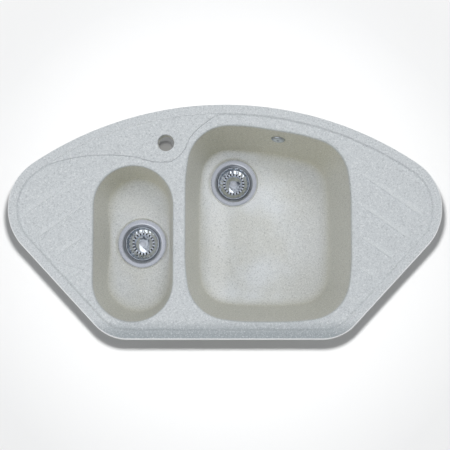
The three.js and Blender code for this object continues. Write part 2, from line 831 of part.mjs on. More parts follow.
// Heights in a waste, above the dished seat of its bowl
const flangeUnder = sealThickness + 2 * clearance;
const lipTop = flangeUnder + lipHeight;
const cupFloor = lipTop - cupDepth;
const cupUnder = cupFloor - sheetThickness;
const screwHeadUnder = cupFloor + clearance;
const screwHeadTop = screwHeadUnder + wasteScrewHeadHeight;
const stopperUnder = cupFloor + clearance;
const stopperTop = stopperUnder + stopperThickness;
const basketUnder = stopperTop + clearance;
const basketTop = basketUnder + basketHeight;
const bodyTop = -bowlWall - 2 * clearance - gasketThickness;
const bodyBottom = bodyTop - bodyLength;
const bushTop = cupUnder - clearance;
const stemTip = screwHeadTop - stemGrip;
const stemBore = boreFor(stemRadius, smallSides);
const screwBore = boreFor(wasteScrewRadius, smallSides);

/** Flat ring between a bore and an edge, as a seal or gasket. */
function flatRing(bore, edge, bottom, thickness, sides) {
  const profile = [
    [bore + sealInset, bottom],
    [edge - sealInset, bottom],
    [edge - sealInset, bottom + thickness],
    [bore + sealInset, bottom + thickness],
  ];
  return turned(profile, sides);
}

/** Pressed flange with its cup: a rolled lip, a tapering wall and a foot with six drain holes. */
function wasteFlange() {
  const half = sheetThickness / 2;
  const lipRadius = flangeDiameter / 2 - half;
  const lipFoot = flangeUnder - clearance;
  const { x: outwards, y: up } = unit(Math.PI / 4);
  const middle = [
    [screwBore, cupFloor - half],
    [cupFootRadius - cupFootBend, cupFloor - half],
    [cupFootRadius + half, cupFloor + cupFootBend],
    [cupTopRadius + half, lipFoot],
    [cupTopRadius + half + lipInnerBend * (1 - outwards), lipFoot + (lipTop - half - lipFoot) * up],
    [cupTopRadius + half + lipInnerBend, lipTop - half],
    [lipRadius - lipOuterBend, lipTop - half],
    [lipRadius, flangeUnder + half],
  ];
  const upright = cylinder(cupHoleRadius, cupUnder - overlap, cupFloor + overlap, smallSides);
  const hole = moved(upright, cupHolePitchRadius, 0, 0);
  return solid(turned(sheet(middle, sheetThickness), roundSides)).subtract(join(around(hole, cupHoleCount)));
}

/**
 * Removable basket: a low dome with a ring of holes round its foot, a shallow fluted slope, a steep
 * wall and a rim.
 */
function strainerBasket() {
  const half = sheetThickness / 2;
  const footZ = basketUnder + half;
  const topZ = basketTop - half;
  const dome = (radius) => [radius, footZ + basketDomeHeight * (1 - (radius / basketDomeRadius) ** 2)];
  const slope = (share, lift) => {
    const radius = basketFootRadius + share * (basketWallRadius - basketFootRadius);
    return [radius, footZ + share * basketSlopeRise, 0, lift];
  };
  const middle = [
    dome(stemBore),
    dome((stemBore + basketDomeRadius) / 2),
    dome(basketDomeRadius),
    slope(0, 0),
    slope(0.5, fluteDepth / 2),
    slope(1, 0),
    [basketRimRadius - basketRimWidth, topZ - basketRimRoll],
    [basketRimRadius - half, topZ],
  ];
  const holeCircle = (basketDomeRadius + basketFootRadius) / 2;
  const holeTop = basketUnder + sheetThickness + overlap;
  const upright = cylinder(basketHoleRadius, basketUnder - overlap, holeTop, basketHoleSides);
  const hole = moved(upright, holeCircle, 0, 0);
  const sides = 2 * basketHoleCount;
  const holes = around(hole, basketHoleCount, Math.PI / basketHoleCount);
  return solid(turned(sheet(middle, sheetThickness), sides)).subtract(join(holes));
}

/** Rubber disc under the basket, hollow round the head of the centre screw. */
function stopperDisc() {
  const recess = wasteScrewHeadRadius + stopperRecessGap;
  const ceiling = screwHeadTop + clearance;
  const hubTop = ceiling + stopperHubWall;
  return turned(
    [
      [recess, stopperUnder],
      [stopperRadius - stopperEdge, stopperUnder],
      [stopperRadius, stopperUnder + stopperEdge],
      [stopperRadius, stopperTop - stopperEdge],
      [stopperRadius - stopperEdge, stopperTop],
      [recess + stopperHubWall, stopperTop],
      [recess + stopperHubWall, hubTop],
      [stemBore, hubTop],
      [stemBore, ceiling],
      [recess, ceiling],
    ],
    mediumSides,
  );
}

/** Knob and stem in one turned piece; the stem's tip sits in the head of the centre screw. */
function basketKnob() {
  const seat = basketUnder + sheetThickness + basketDomeHeight + clearance;
  return turned(
    [
      [0, stemTip],
      [stemRadius, stemTip],
      [stemRadius, seat],
      [knobNeckRadius, seat],
      [knobNeckRadius, seat + knobNeckHeight],
      [knobRadius, seat + knobHeight - 2 * knobCrown],
      [knobRadius - knobCrown, seat + knobHeight - knobCrown / 2],
      [0, seat + knobHeight],
    ],
    smallSides,
  );
}

/** Screw that pulls the flange and the body together through the waste hole. */
function wasteScrew() {
  return turned(
    [
      [0, screwHeadUnder - wasteScrewLength],
      [wasteScrewRadius, screwHeadUnder - wasteScrewLength],
      [wasteScrewRadius, screwHeadUnder],
      [wasteScrewHeadRadius, screwHeadUnder],
      [wasteScrewHeadRadius, screwHeadTop - wasteScrewHeadEdge],
      [wasteScrewHeadRadius - wasteScrewHeadEdge, screwHeadTop],
      [stemBore, screwHeadTop],
      [stemBore, stemTip - clearance],
      [0, stemTip - clearance],
    ],
    smallSides,
  );
}

const bodyBore = cupTopRadius + sheetThickness + bodyCupGap;
const coneTopZ = bodyTop - bodyFlangeThickness - bodyDrumHeight;
const coneFootZ = coneTopZ - bodyConeHeight;
const outletRadius = outletDiameter / 2;
const outletBore = outletRadius - outletWall;
const socketRadius = boreFor(pipeRadius, smallSides);
const socketOuter = socketRadius + elbowWall;
const slipNutBore = boreFor(socketOuter, mediumSides);
const slipNutRadius = slipNutBore + slipNutWall;
const inletZ = bodyTop - bodyFlangeThickness - slipNutRadius - slipNutRoom;

/** One of the upright webs that carry the bush, from the axis out to the cone. */
function bushWeb() {
  const outline = new THREE.Shape();
  outline.moveTo(bushRadius / 2, coneFootZ);
  outline.lineTo(outletBore + overlap, coneFootZ);
  outline.lineTo(bodyBore + overlap, coneTopZ);
  outline.lineTo(bodyBore + overlap, coneTopZ + overlap);
  outline.lineTo(bushRadius / 2, coneTopZ + overlap);
  const web = new THREE.ExtrudeGeometry(outline, { depth: bushWebThickness, bevelEnabled: false });
  return web.rotateX(Math.PI / 2).translate(0, bushWebThickness / 2, 0);
}

/** Body below the bowl: flange, drum, cone and threaded outlet, with a bush on three webs. */
function wasteBody(inletAngle) {
  const drum = bodyBore + bodyWall;
  const shell = turned(
    [
      [outletBore, bodyBottom],
      [outletRadius, bodyBottom],
      [outletRadius, coneFootZ - bodyWall],
      [drum, coneTopZ - bodyWall],
      [drum, bodyTop - bodyFlangeThickness],
      [bodyFlangeRadius, bodyTop - bodyFlangeThickness],
      [bodyFlangeRadius, bodyTop],
      [bodyBore, bodyTop],
      [bodyBore, coneTopZ],
      [outletBore, coneFootZ],
    ],
    roundSides,
  );
  const bush = cylinder(bushRadius, coneFootZ, bushTop, smallSides);
  const screwHole = cylinder(screwBore, coneFootZ - overlap, bushTop + overlap, smallSides);
  const body = join([shell, bush, ...around(bushWeb(), bushWebCount)]).subtract(solid(screwHole));
  if (inletAngle === undefined) return body;
  const lying = (radius, from, to) => {
    const level = cylinder(radius, from, to, smallSides).rotateY(Math.PI / 2);
    return solid(moved(spun(level, inletAngle), 0, 0, inletZ));
  };
  const spigot = lying(socketOuter, bodyBore + overlap, drum + socketStop + socketDepth);
  const socket = lying(socketRadius, drum + socketStop, drum + socketStop + socketDepth + overlap);
  const passage = lying(pipeRadius - pipeWall, bodyBore - 2 * overlap, drum + socketStop + overlap);
  return body.add(spigot).subtract(socket).subtract(passage);
}

const wasteZ = (bowl) => bowl.floorZ - dishBelowFloor;

/** One complete waste, named after its bowl. */
function addWaste(prefix, bowl, inletAngle) {
  const group = new THREE.Group();
  group.position.set(bowl.waste.x, bowl.waste.y, wasteZ(bowl));
  const seal = flatRing(wasteHoleRadius, flangeDiameter / 2, clearance, sealThickness, roundSides);
  const gasketUnder = bodyTop + clearance;
  const gasket = flatRing(wasteHoleRadius, bodyFlangeRadius, gasketUnder, gasketThickness, roundSides);
  addPiece(group, `${prefix}_flange_seal`, seal, blackRubber);
  addPiece(group, `${prefix}_waste_flange`, wasteFlange(), brushedSteel);
  addPiece(group, `${prefix}_strainer_basket`, strainerBasket(), polishedSteel);
  addPiece(group, `${prefix}_basket_knob`, basketKnob(), polishedSteel);
  addPiece(group, `${prefix}_basket_stopper`, stopperDisc(), blackRubber);
  addPiece(group, `${prefix}_waste_screw`, wasteScrew(), zincSteel);
  addPiece(group, `${prefix}_body_gasket`, gasket, blackRubber);
  addPiece(group, `${prefix}_waste_body`, wasteBody(inletAngle), whitePlastic);
  sink.add(group);
}

// ------------------------------------------------------------------ overflow

const spigotRadius = overflowHoleRadius - clearance;
const spigotBore = spigotRadius - elbowWall;
const flangeFace = sealFace + sealThickness + 2 * clearance;
const chamberEnd = flangeFace + elbowFlangeThickness + elbowDepth;
const chamberRadius = socketOuter;
const outletAxis = chamberEnd - chamberRadius; // of the pipe socket, behind the wall's inner face
const wasteAt = new THREE.Vector3(bowls.main.waste.x, bowls.main.waste.y, wasteZ(bowls.main));
const socketTop = new THREE.Vector3(0, 0, outletAxis).applyMatrix4(overflow);
const elbowMouthZ = socketTop.z - chamberRadius - socketDepth;
const toWaste = new THREE.Vector3(wasteAt.x - socketTop.x, wasteAt.y - socketTop.y, 0);
const runLength = toWaste.length();
const runAngle = Math.atan2(-toWaste.y, -toWaste.x); // from the waste towards the overflow

addWaste('main', bowls.main, runAngle);
addWaste('small', bowls.small);

/** Domed cap in the bowl, open round its foot, with a countersink for its screw. */
function rosette() {
  const half = sheetThickness / 2;
  const seat = -clearance;
  const edge = rosetteRadius - half;
  const face = (radius) => {
    const rise = (rosetteHeight - half - rosetteEdge) * (1 - (radius / edge) ** rosetteFlatness);
    return [radius, seat - rosetteEdge - rise];
  };
  const shoulder = (edge - rosetteSinkRadius) / 3;
  const middle = [
    [overflowScrewRadius + clearance, seat - rosetteHeight + rosetteSinkDepth],
    face(rosetteSinkRadius),
    face(rosetteSinkRadius + shoulder),
    face(rosetteSinkRadius + 2 * shoulder),
    face(edge),
    [edge, seat],
  ];
  const shell = solid(turned(sheet(middle, sheetThickness), mediumSides));
  const notch = new THREE.BoxGeometry(rosetteRadius, rosetteNotchWidth, rosetteHeight / 2);
  notch.translate(rosetteRadius, 0, seat);
  return shell.subtract(join(around(notch, rosetteNotchCount)));
}

const overflowScrewTop = -clearance - rosetteHeight - overflowScrewProud;
const overflowScrewTip = overflowScrewTop + overflowScrewHeadHeight + overflowScrewLength;

/** Countersunk screw through the rosette into the elbow. */
function rosetteScrew() {
  return turned(
    [
      [0, overflowScrewTop],
      [overflowScrewHeadRadius, overflowScrewTop + overflowScrewCrown],
      [overflowScrewRadius, overflowScrewTop + overflowScrewHeadHeight],
      [overflowScrewRadius, overflowScrewTip],
      [0, overflowScrewTip],
    ],
    smallSides,
  );
}

/** Elbow behind the wall: spigot through the wall, flange, chamber and a socket for the pipe. */
function overflowElbow() {
  const alongAxis = (radius, from, to, sides) => inWall(cylinder(radius, from, to, sides));
  const down = (radius, bottom, top) =>
    moved(cylinder(radius, bottom, top, smallSides), socketTop.x, socketTop.y, 0);
  const screwBoreRadius = boreFor(overflowScrewRadius, smallSides);
  const socketBottom = socketTop.z - chamberRadius;
  const added = [
    alongAxis(spigotRadius, overlap, flangeFace + overlap, mediumSides),
    alongAxis(elbowFlangeRadius, flangeFace, flangeFace + elbowFlangeThickness, mediumSides),
    alongAxis(chamberRadius, flangeFace, chamberEnd, smallSides),
    down(chamberRadius, elbowMouthZ, socketTop.z),
  ];
  const cut = [
    alongAxis(spigotBore, -bowlWall, chamberEnd - elbowWall, mediumSides),
    down(pipeRadius - pipeWall, socketBottom - overlap, socketTop.z),
    down(socketRadius, elbowMouthZ - overlap, socketBottom),
  ];
  const post = alongAxis(screwBoreRadius + elbowWall, bowlWall, chamberEnd - overlap, smallSides);
  const screwHole = alongAxis(screwBoreRadius, 0, overflowScrewTip + overlap, smallSides);
  return join(added).subtract(join(cut)).add(solid(post)).subtract(solid(screwHole));
}

/** Rigid pipe from the elbow down the wall, round one bend and in to the waste body. */
function overflowPipe() {
  const top = socketTop.z - chamberRadius - clearance;
  const low = wasteAt.z + inletZ;
  const spigotEnd = bodyBore + bodyWall + socketStop + clearance;
  const inward = { x: toWaste.x / runLength, y: toWaste.y / runLength };
  const stationsAlong = [[0, top, 0]];
  for (let i = 0; i <= bendSteps; i++) {
    const angle = ((Math.PI / 2) * i) / bendSteps;
    stationsAlong.push([pipeBend * (1 - Math.cos(angle)), low + pipeBend * (1 - Math.sin(angle)), angle]);
  }
  stationsAlong.push([runLength - spigotEnd, low, Math.PI / 2]);
  const ring = ([along, z, angle], radius) =>
    Array.from({ length: smallSides }, (_, i) => {
      const { x: outwards, y: sideways } = unit((-2 * Math.PI * i) / smallSides);
      const forward = along + radius * outwards * Math.cos(angle);
      return new THREE.Vector3(
        socketTop.x + forward * inward.x - radius * sideways * inward.y,
        socketTop.y + forward * inward.y + radius * sideways * inward.x,
        z + radius * outwards * Math.sin(angle),
      );
    });
  const outer = stationsAlong.map((station) => ring(station, pipeRadius));
  const inner = stationsAlong.map((station) => ring(station, pipeRadius - pipeWall)).reverse();
  return skin([...outer, ...inner], true);
}

/** Slip nut round the mouth of a socket, with grip ribs; z = 0 is the mouth. */
function slipNut() {
  const back = slipNutWidth - slipNutLip;
  return turned(
    [
      [socketRadius, -slipNutLip - clearance],
      [slipNutRadius, -slipNutLip - clearance, slipNutGrip],
      [slipNutRadius, back, slipNutGrip],
      [slipNutBore, back],
      [slipNutBore, -clearance],
      [socketRadius, -clearance],
    ],
    mediumSides,
  );
}

const bodyMouth = bodyBore + bodyWall + socketStop + socketDepth;
const elbowSeal = flatRing(
  overflowHoleRadius,
  elbowFlangeRadius,
  sealFace + clearance,
  sealThickness,
  mediumSides,
);
const lyingNut = spun(slipNut().rotateY(-Math.PI / 2), runAngle).translate(
  wasteAt.x + bodyMouth * Math.cos(runAngle),
  wasteAt.y + bodyMouth * Math.sin(runAngle),
  wasteAt.z + inletZ,
);
addPiece(sink, 'overflow_rosette', inWall(geometryOf(rosette())), polishedSteel);
addPiece(sink, 'overflow_screw', inWall(rosetteScrew()), polishedSteel);
addPiece(sink, 'overflow_seal', inWall(elbowSeal), blackRubber);
addPiece(sink, 'overflow_elbow', overflowElbow(), whitePlastic);
addPiece(sink, 'overflow_upper_nut', moved(slipNut(), socketTop.x, socketTop.y, elbowMouthZ), whitePlastic);
addPiece(sink, 'overflow_pipe', overflowPipe(), whitePlastic);
addPiece(sink, 'overflow_lower_nut', lyingNut, whitePlastic);

// ------------------------------------------------------------------ clips

const clawTop = -worktopThickness - clearance;
const clawBottom = clawTop - clawToothHeight - clawThickness;

/** Claw that turns on its screw: a round heel, a tapering arm and a tooth that bites upwards. */
function clawSolid() {
  const heel = clawWidth / 2;
  const outline = new THREE.Shape();
  outline.absarc(0, 0, heel, Math.PI / 2, 1.5 * Math.PI, false);
  outline.lineTo(clawReach - clawCorner, -clawTipWidth / 2);
  outline.lineTo(clawReach, -clawTipWidth / 2 + clawCorner);
  outline.lineTo(clawReach, clawTipWidth / 2 - clawCorner);
  outline.lineTo(clawReach - clawCorner, clawTipWidth / 2);
  const arm = new THREE.ExtrudeGeometry(outline, {
    depth: clawThickness,
    bevelEnabled: false,
    curveSegments: clipSides / 2,
  });
  arm.translate(0, 0, clawBottom);
  const toothDepth = clawToothHeight + overlap;
  const tooth = new THREE.BoxGeometry(clawToothLength, clawTipWidth - 2 * clawCorner, toothDepth);
  tooth.translate(clawReach - clawToothLength / 2, 0, clawTop - toothDepth / 2);
  const bore = cylinder(clipBoreRadius, clawBottom - overlap, clawTop + overlap, clipSides);
  return solid(arm).add(solid(tooth)).subtract(solid(bore));
}

/** Clip screw, head down, turned up into its boss. */
function clipScrew() {
  const headTop = clawBottom - clearance;
  const tip = -clipBossDepth + clipScrewGrip;
  return turned(
    [
      [0, headTop - clipScrewHeadHeight],
      [clipScrewHeadRadius, headTop - clipScrewHeadHeight],
      [clipScrewHeadRadius, headTop],
      [clipScrewRadius, headTop],
      [clipScrewRadius, tip],
      [0, tip],
    ],
    clipSides,
  );
}

stations.forEach(({ x, y, angle }, i) => {
  const number = String(i + 1).padStart(2, '0');
  const clip = new THREE.Group();
  clip.position.set(x, y, 0);
  clip.rotation.z = angle;
  addPiece(clip, `clip_claw_${number}`, clawSolid(), greyPlastic);
  addPiece(clip, `clip_screw_${number}`, clipScrew(), zincSteel);
  sink.add(clip);
});

export default sink;
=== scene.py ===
import bmesh
import bpy
import numpy as np
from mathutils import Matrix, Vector
from mathutils.geometry import delaunay_2d_cdt


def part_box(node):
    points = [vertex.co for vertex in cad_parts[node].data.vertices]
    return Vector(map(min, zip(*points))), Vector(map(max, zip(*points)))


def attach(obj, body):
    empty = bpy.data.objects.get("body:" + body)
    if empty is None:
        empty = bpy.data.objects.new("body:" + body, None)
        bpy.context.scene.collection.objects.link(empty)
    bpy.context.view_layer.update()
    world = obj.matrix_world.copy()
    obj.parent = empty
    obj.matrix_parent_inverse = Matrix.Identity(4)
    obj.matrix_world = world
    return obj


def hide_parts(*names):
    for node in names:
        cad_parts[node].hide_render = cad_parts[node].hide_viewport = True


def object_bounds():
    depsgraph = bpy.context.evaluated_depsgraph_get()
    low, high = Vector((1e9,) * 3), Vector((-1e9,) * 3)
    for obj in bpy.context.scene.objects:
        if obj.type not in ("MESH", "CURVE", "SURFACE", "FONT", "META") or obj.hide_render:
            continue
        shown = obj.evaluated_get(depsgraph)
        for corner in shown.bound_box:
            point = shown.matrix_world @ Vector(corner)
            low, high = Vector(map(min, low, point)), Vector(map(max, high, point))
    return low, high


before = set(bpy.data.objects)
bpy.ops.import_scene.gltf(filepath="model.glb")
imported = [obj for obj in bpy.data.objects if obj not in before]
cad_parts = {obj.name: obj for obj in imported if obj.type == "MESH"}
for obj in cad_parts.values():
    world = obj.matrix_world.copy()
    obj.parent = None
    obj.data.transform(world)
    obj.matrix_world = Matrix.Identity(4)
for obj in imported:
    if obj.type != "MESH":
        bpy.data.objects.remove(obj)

cad_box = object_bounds()

# ------------------------------------------------------------------ the moulding
# The sink's one large piece: quartz sand bound in acrylic resin, cast face down in a closed mould
# and left with its satin, speckled face. Its rim rests on the worktop, and every other piece is
# fastened to it. Lengths are in millimetres, from the middle of the rim's front seat.

mm = 0.001

left_drainer = 187.0
small_bowl_width = 174.0
bridge = 27.0
main_bowl_width = 363.0
right_drainer = 199.0
front_ledge = 39.0
main_bowl_length = 421.0
back_ledge = 55.0
small_bowl_length = 340.0
front_y = -10.0

back_radius = 750.0
end_radius = 120.0
front_corner_radius = 100.0
front_corner_inset = 35.0
outline_spacing = 4.5  # between points along every outline

half_width = (left_drainer + small_bowl_width + bridge + main_bowl_width + right_drainer) / 2
back_y = front_y + front_ledge + main_bowl_length + back_ledge
bowl_front = front_y + front_ledge
small_left = left_drainer - half_width
small_right = small_left + small_bowl_width
main_left = small_right + bridge
main_right = main_left + main_bowl_width
main_middle = (main_left + main_right) / 2
bridge_middle = (small_right + main_left) / 2


def unit(angle):
    """The direction (cos a, sin a)."""
    return np.array([np.cos(angle), np.sin(angle)])


def outline_of(arcs, spacing=outline_spacing):
    """A closed outline from arcs (centre, radius, start, stop): each arc is centre + radius (cos a,
    sin a), and a straight run joins it to the next. Gives the points and their outward normals."""
    points, normals = [], []
    firsts = [centre + radius * unit(start) for centre, radius, start, _ in arcs]
    for k, (centre, radius, start, stop) in enumerate(arcs):
        angle = np.linspace(start, stop, int(radius * (stop - start) / spacing) + 2)
        normal = np.stack([np.cos(angle), np.sin(angle)], axis=1)
        arc = centre + radius * normal
        gap = firsts[(k + 1) % len(arcs)] - arc[-1]
        count = int(np.hypot(*gap) / spacing)
        share = np.arange(1, count + 1)[:, None] / (count + 1)
        points += [arc, arc[-1] + gap * share]
        normals += [normal, np.repeat(normal[-1:], count, axis=0)]
    points, normals = np.concatenate(points), np.concatenate(normals)
    apart = np.hypot(*(points - np.roll(points, -1, axis=0)).T) > spacing / 20
    return points[apart], normals[apart]


back_centre = np.array([0.0, back_y - back_radius])
end_x = half_width - end_radius
end_centre = np.array([end_x, back_centre[1] + np.sqrt((back_radius - end_radius) ** 2 - end_x**2)])
back_angle = np.arctan2(end_centre[1] - back_centre[1], end_centre[0])
front_corner = np.array([-small_left - front_corner_inset, front_y])
to_end = end_centre - front_corner
side_angle = np.arctan2(to_end[1], to_end[0]) - np.arcsin(end_radius / np.hypot(*to_end))
side_normal = side_angle - np.pi / 2
corner_reach = front_corner_radius * np.tan(side_angle / 2)
corner_centre = front_corner + np.array([-corner_reach, front_corner_radius])
right_half = [
    (corner_centre, front_corner_radius, -np.pi / 2, side_normal),
    (end_centre, end_radius, side_normal, back_angle),
]
mirror = np.array([-1.0, 1.0])
left_half = [(c * mirror, r, np.pi - b, np.pi - a) for c, r, a, b in reversed(right_half)]
back_arc = (back_centre, back_radius, back_angle, np.pi - back_angle)
basin = outline_of([*right_half, back_arc, *left_half])

small_radius = small_bowl_width / 2
small_x = small_left + small_radius
small_back = np.array([small_x, bowl_front + small_bowl_length - small_radius])
small_front = np.array([small_x, bowl_front + small_radius])
small_bowl = outline_of(
    [(small_back, small_radius, 0.0, np.pi), (small_front, small_radius, np.pi, 2 * np.pi)]
)

main_back_slope = np.radians(9.3)
main_corner_radius = 91.0
main_ease_radius = 450.0
main_ease_angle = np.radians(9.0)


def eased_corner(corner, start, stop):
    """Arcs that round a sharp corner, wide, tight and wide again. Their summed chord gives how far
    from the corner they begin: half the chord over the cosine of half the turn."""
    ease = main_ease_angle
    turns = [
        (main_ease_radius, start, start + ease),
        (main_corner_radius, start + ease, stop - ease),
        (main_ease_radius, stop - ease, stop),
    ]
    chord = sum(radius * (unit(b) - unit(a)) for radius, a, b in turns)
    reach = np.hypot(*chord) / (2 * np.cos((stop - start) / 2))
    place = corner - reach * unit(start + np.pi / 2)
    arcs = []
    for radius, a, b in turns:
        centre = place - radius * unit(a)
        arcs.append((centre, radius, a, b))
        place = centre + radius * unit(b)
    return arcs


def main_back(x):
    """Back edge of the large bowl: a straight line that falls away to the right."""
    return bowl_front + main_bowl_length - np.tan(main_back_slope) * (x - main_middle)


back_normal = np.pi / 2 - main_back_slope
main_bowl = outline_of(
    eased_corner(np.array([main_right, bowl_front]), -np.pi / 2, 0.0)
    + eased_corner(np.array([main_right, main_back(main_right)]), 0.0, back_normal)
    + eased_corner(np.array([main_left, main_back(main_left)]), back_normal, np.pi)
    + eased_corner(np.array([main_left, bowl_front]), np.pi, 1.5 * np.pi)
)

rim_height = 10.0
rim_step = 5.0
ledge_drop = 1.5
plate_under = -3.0
rim_top_width = 20.0
rim_slope_width = 5.0
deck_z = rim_height - rim_step
ledge_z = rim_height - ledge_drop


def filleted(corners, steps=6):
    """A profile whose corners (across, up, radius) are rounded: at each one an arc runs between the
    points that lie radius * tan(half the turn) before and after it."""
    corners = np.asarray(corners, dtype=float)
    path = [corners[:1, :2]]
    for before, (x, y, radius), after in zip(corners[:-2], corners[1:-1], corners[2:]):
        here = np.array([x, y])
        back = (before[:2] - here) / np.hypot(*(before[:2] - here))
        ahead = (after[:2] - here) / np.hypot(*(after[:2] - here))
        half_turn = (np.pi - np.arccos(np.clip(back @ ahead, -1, 1))) / 2
        if radius == 0 or half_turn < 1e-3:
            path.append(here[None])
            continue
        first = here + radius * np.tan(half_turn) * back
        middle = here + radius / np.cos(half_turn) * (back + ahead) / np.hypot(*(back + ahead))
        spoke = first - middle
        across = np.array([-spoke[1], spoke[0]])
        across *= np.sign(across @ ahead)
        angle = np.linspace(0, 2 * half_turn, steps + 1)[:, None]
        path.append(middle + spoke * np.cos(angle) + across * np.sin(angle))
    path.append(corners[-1:, :2])
    return np.concatenate(path)


def ring(shape, inset, z):
    """An outline moved inwards along its normals by an inset, at height z; both may vary along it."""
    flat = shape[0] - np.reshape(inset, (-1, 1)) * shape[1]
    return np.column_stack([flat, np.broadcast_to(z, len(flat))])


def lofted(rings, closed=False):
    """A surface through rings of equal length: quad (k, i) joins points i and i + 1 of ring k to
    those of ring k + 1. Each ring closes on itself, and so do the rings in turn where closed."""
    rings = np.asarray(rings)
    index = np.arange(rings.shape[0] * rings.shape[1]).reshape(rings.shape[:2])
    if closed:
        index = np.vstack([index, index[:1]])
    beside = np.roll(index, -1, axis=1)
    quads = np.stack([index[:-1], beside[:-1], beside[1:], index[1:]], axis=-1)
    return rings.reshape(-1, 3), quads.reshape(-1, 4)


skirt_inset = 19.0
skirt_thickness = 5.0
skirt_bottom = -14.0
skirt_inner = skirt_inset + skirt_thickness
underside_fillet = 2.0
rim_profile = filleted(
    [
        (rim_top_width, rim_height, 0),
        (0, rim_height, 3.0),
        (0, 0, 0.6),
        (skirt_inset, 0, 1.0),
        (skirt_inset, skirt_bottom, 1.2),
        (skirt_inner, skirt_bottom, 1.2),
        (skirt_inner, plate_under, underside_fillet),
        (skirt_inner + underside_fillet, plate_under, 0),
    ]
)
rim_surface = lofted([ring(basin, inset, z) for inset, z in rim_profile])

clearance = 0.3  # between neighbouring pieces
bowl_wall = 8.0
bowl_draft = np.radians(8.0)
bowl_edge = 5.0
floor_fall = 3.0
dish_radius = 60.5
dish_slope = 2.5
dish_depth = 3.0
waste_hole = 46.8
wall_rows = 16
foot_rows = 9
floor_rows = 14


def waste_seat(bowl):
    """Middle of a bowl's dished waste seat: a clearance below the middle of the seal on it, which
    the frame gives."""
    low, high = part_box(f"{bowl}_flange_seal")
    return np.array([(low.x + high.x) / 2, (low.y + high.y) / 2, low.z]) / mm - [0, 0, clearance]


wastes = {bowl: waste_seat(bowl) for bowl in ("main", "small")}
foot_radii = (4.0, 34.0)  # tightest beside a waste, widest away from it
foot_margin = 1.8  # of floor left beside the foot


def bowl_rings(shape, bowl):
    """Rings from the deck over a rounded edge, down the drafted wall, round the foot, across the
    floor to the waste hole, through it, and back up the outside one wall's thickness away. The
    foot is as round as the room between the wall and the waste's dish allows."""
    centre, seat_z = wastes[bowl][:2], wastes[bowl][2]
    floor_z = seat_z + floor_fall + dish_depth
    wall_top = deck_z - bowl_edge
    bearing = shape[0] - centre
    away = np.hypot(*bearing.T)
    bearing /= away[:, None]
    room = away - dish_radius - (wall_top - floor_z) * np.tan(bowl_draft) - foot_margin
    radius = np.clip(room, *foot_radii)
    wall_height = wall_top - floor_z - radius * (1 - np.sin(bowl_draft))
    foot_inset = radius * np.cos(bowl_draft) + wall_height * np.tan(bowl_draft)

    def circle(r, z):
        """Ring of radius r round the waste, each point in the bearing of its point of the wall."""
        return np.column_stack([centre + r * bearing, np.full(len(bearing), z)])

    def foot(thickness):
        """Rows round the foot: r cos a out and r sin a down from its middle, a from draft to level."""
        angle = np.linspace(bowl_draft, np.pi / 2, foot_rows)[:, None]
        r = radius + thickness
        insets = foot_inset - r * np.cos(angle)
        heights = floor_z + radius - r * np.sin(angle)
        return [ring(shape, inset, z) for inset, z in zip(insets, heights)]

    def floor(thickness):
        """Rows from the foot to the dish, which fall by the share of the way to the power 1.5."""
        edge = ring(shape, foot_inset, floor_z - thickness)
        target = circle(dish_radius, floor_z - thickness)
        rows = []
        for share in np.linspace(0, 1, floor_rows)[1:]:
            row = edge + share * (target - edge)
            row[:, 2] -= floor_fall * share**1.5
            rows.append(row)
        return rows

    def wall(top, thickness):
        """Rows down the wall, which leans in by the depth times the tangent of the draft."""
        bottom = floor_z + radius - (radius + thickness) * np.sin(bowl_draft)
        heights = np.linspace(top, bottom, wall_rows)[1:-1]
        offset = thickness / np.cos(bowl_draft)
        return [ring(shape, (wall_top - z) * np.tan(bowl_draft) - offset, z) for z in heights]

    turn = np.linspace(0, np.pi / 2, 8)
    edge = [
        ring(shape, -bowl_edge * (1 - np.sin(a)), wall_top + bowl_edge * np.cos(a)) for a in turn
    ]
    through = filleted(
        [
            (dish_radius, floor_z - floor_fall, 0),
            (dish_radius - dish_slope, seat_z, 1.0),
            (waste_hole, seat_z, 0.8),
            (waste_hole, seat_z - bowl_wall, 0.8),
            (dish_radius, seat_z - bowl_wall, 1.0),
            (dish_radius, floor_z - floor_fall - bowl_wall, 0),
        ]
    )
    hole = [circle(r, z) for r, z in through[1:-1]]
    under = plate_under - underside_fillet
    outer_inset = (wall_top - under) * np.tan(bowl_draft) - bowl_wall / np.cos(bowl_draft)
    root = [
        ring(shape, outer_inset - underside_fillet * (1 - np.sin(a)), under + underside_fillet * np.cos(a))
        for a in turn[::-1]
    ]
    inside = edge + wall(wall_top, 0) + foot(0) + floor(0)
    outside = wall(under, bowl_wall) + foot(bowl_wall) + floor(bowl_wall)
    return inside + hole + outside[::-1] + root


main_rings = bowl_rings(main_bowl, "main")
small_rings = bowl_rings(small_bowl, "small")

tap_hole = 17.5
tap_edge = 1.0
tap_boss = 28.0
tap_boss_bottom = -14.0
tap_from_bridge = 29.0
tap_from_back = 75.0
tap_x = bridge_middle - tap_from_bridge
tap = np.array([tap_x, back_centre[1] + np.sqrt(back_radius**2 - tap_x**2) - tap_from_back])
round_steps = 72
circle_angles = np.linspace(0, 2 * np.pi, round_steps, endpoint=False)
tap_circle = (tap + tap_hole * unit(circle_angles).T, -unit(circle_angles).T)
tap_profile = filleted(
    [
        (tap_hole + tap_edge, ledge_z, 0),
        (tap_hole, ledge_z, tap_edge),
        (tap_hole, tap_boss_bottom, 0.5),
        (tap_boss, tap_boss_bottom, 1.0),
        (tap_boss, plate_under, underside_fillet),
        (tap_boss + underside_fillet, plate_under, 0),
    ]
)
tap_rings = [ring(tap_circle, r - tap_hole, z) for r, z in tap_profile]

ledge_front = tap + np.array(
    [
        (-390, -120), (-330, -86), (-270, -52), (-198, -31), (-128, -25.5), (-70, -29.5), (-20, -41),
        (15, -37.5), (38, -16.5), (54, 15.5), (78, 39.5), (112, 62.5), (160, 80), (210, 92),
    ]
)
ledge_slope = 2.5


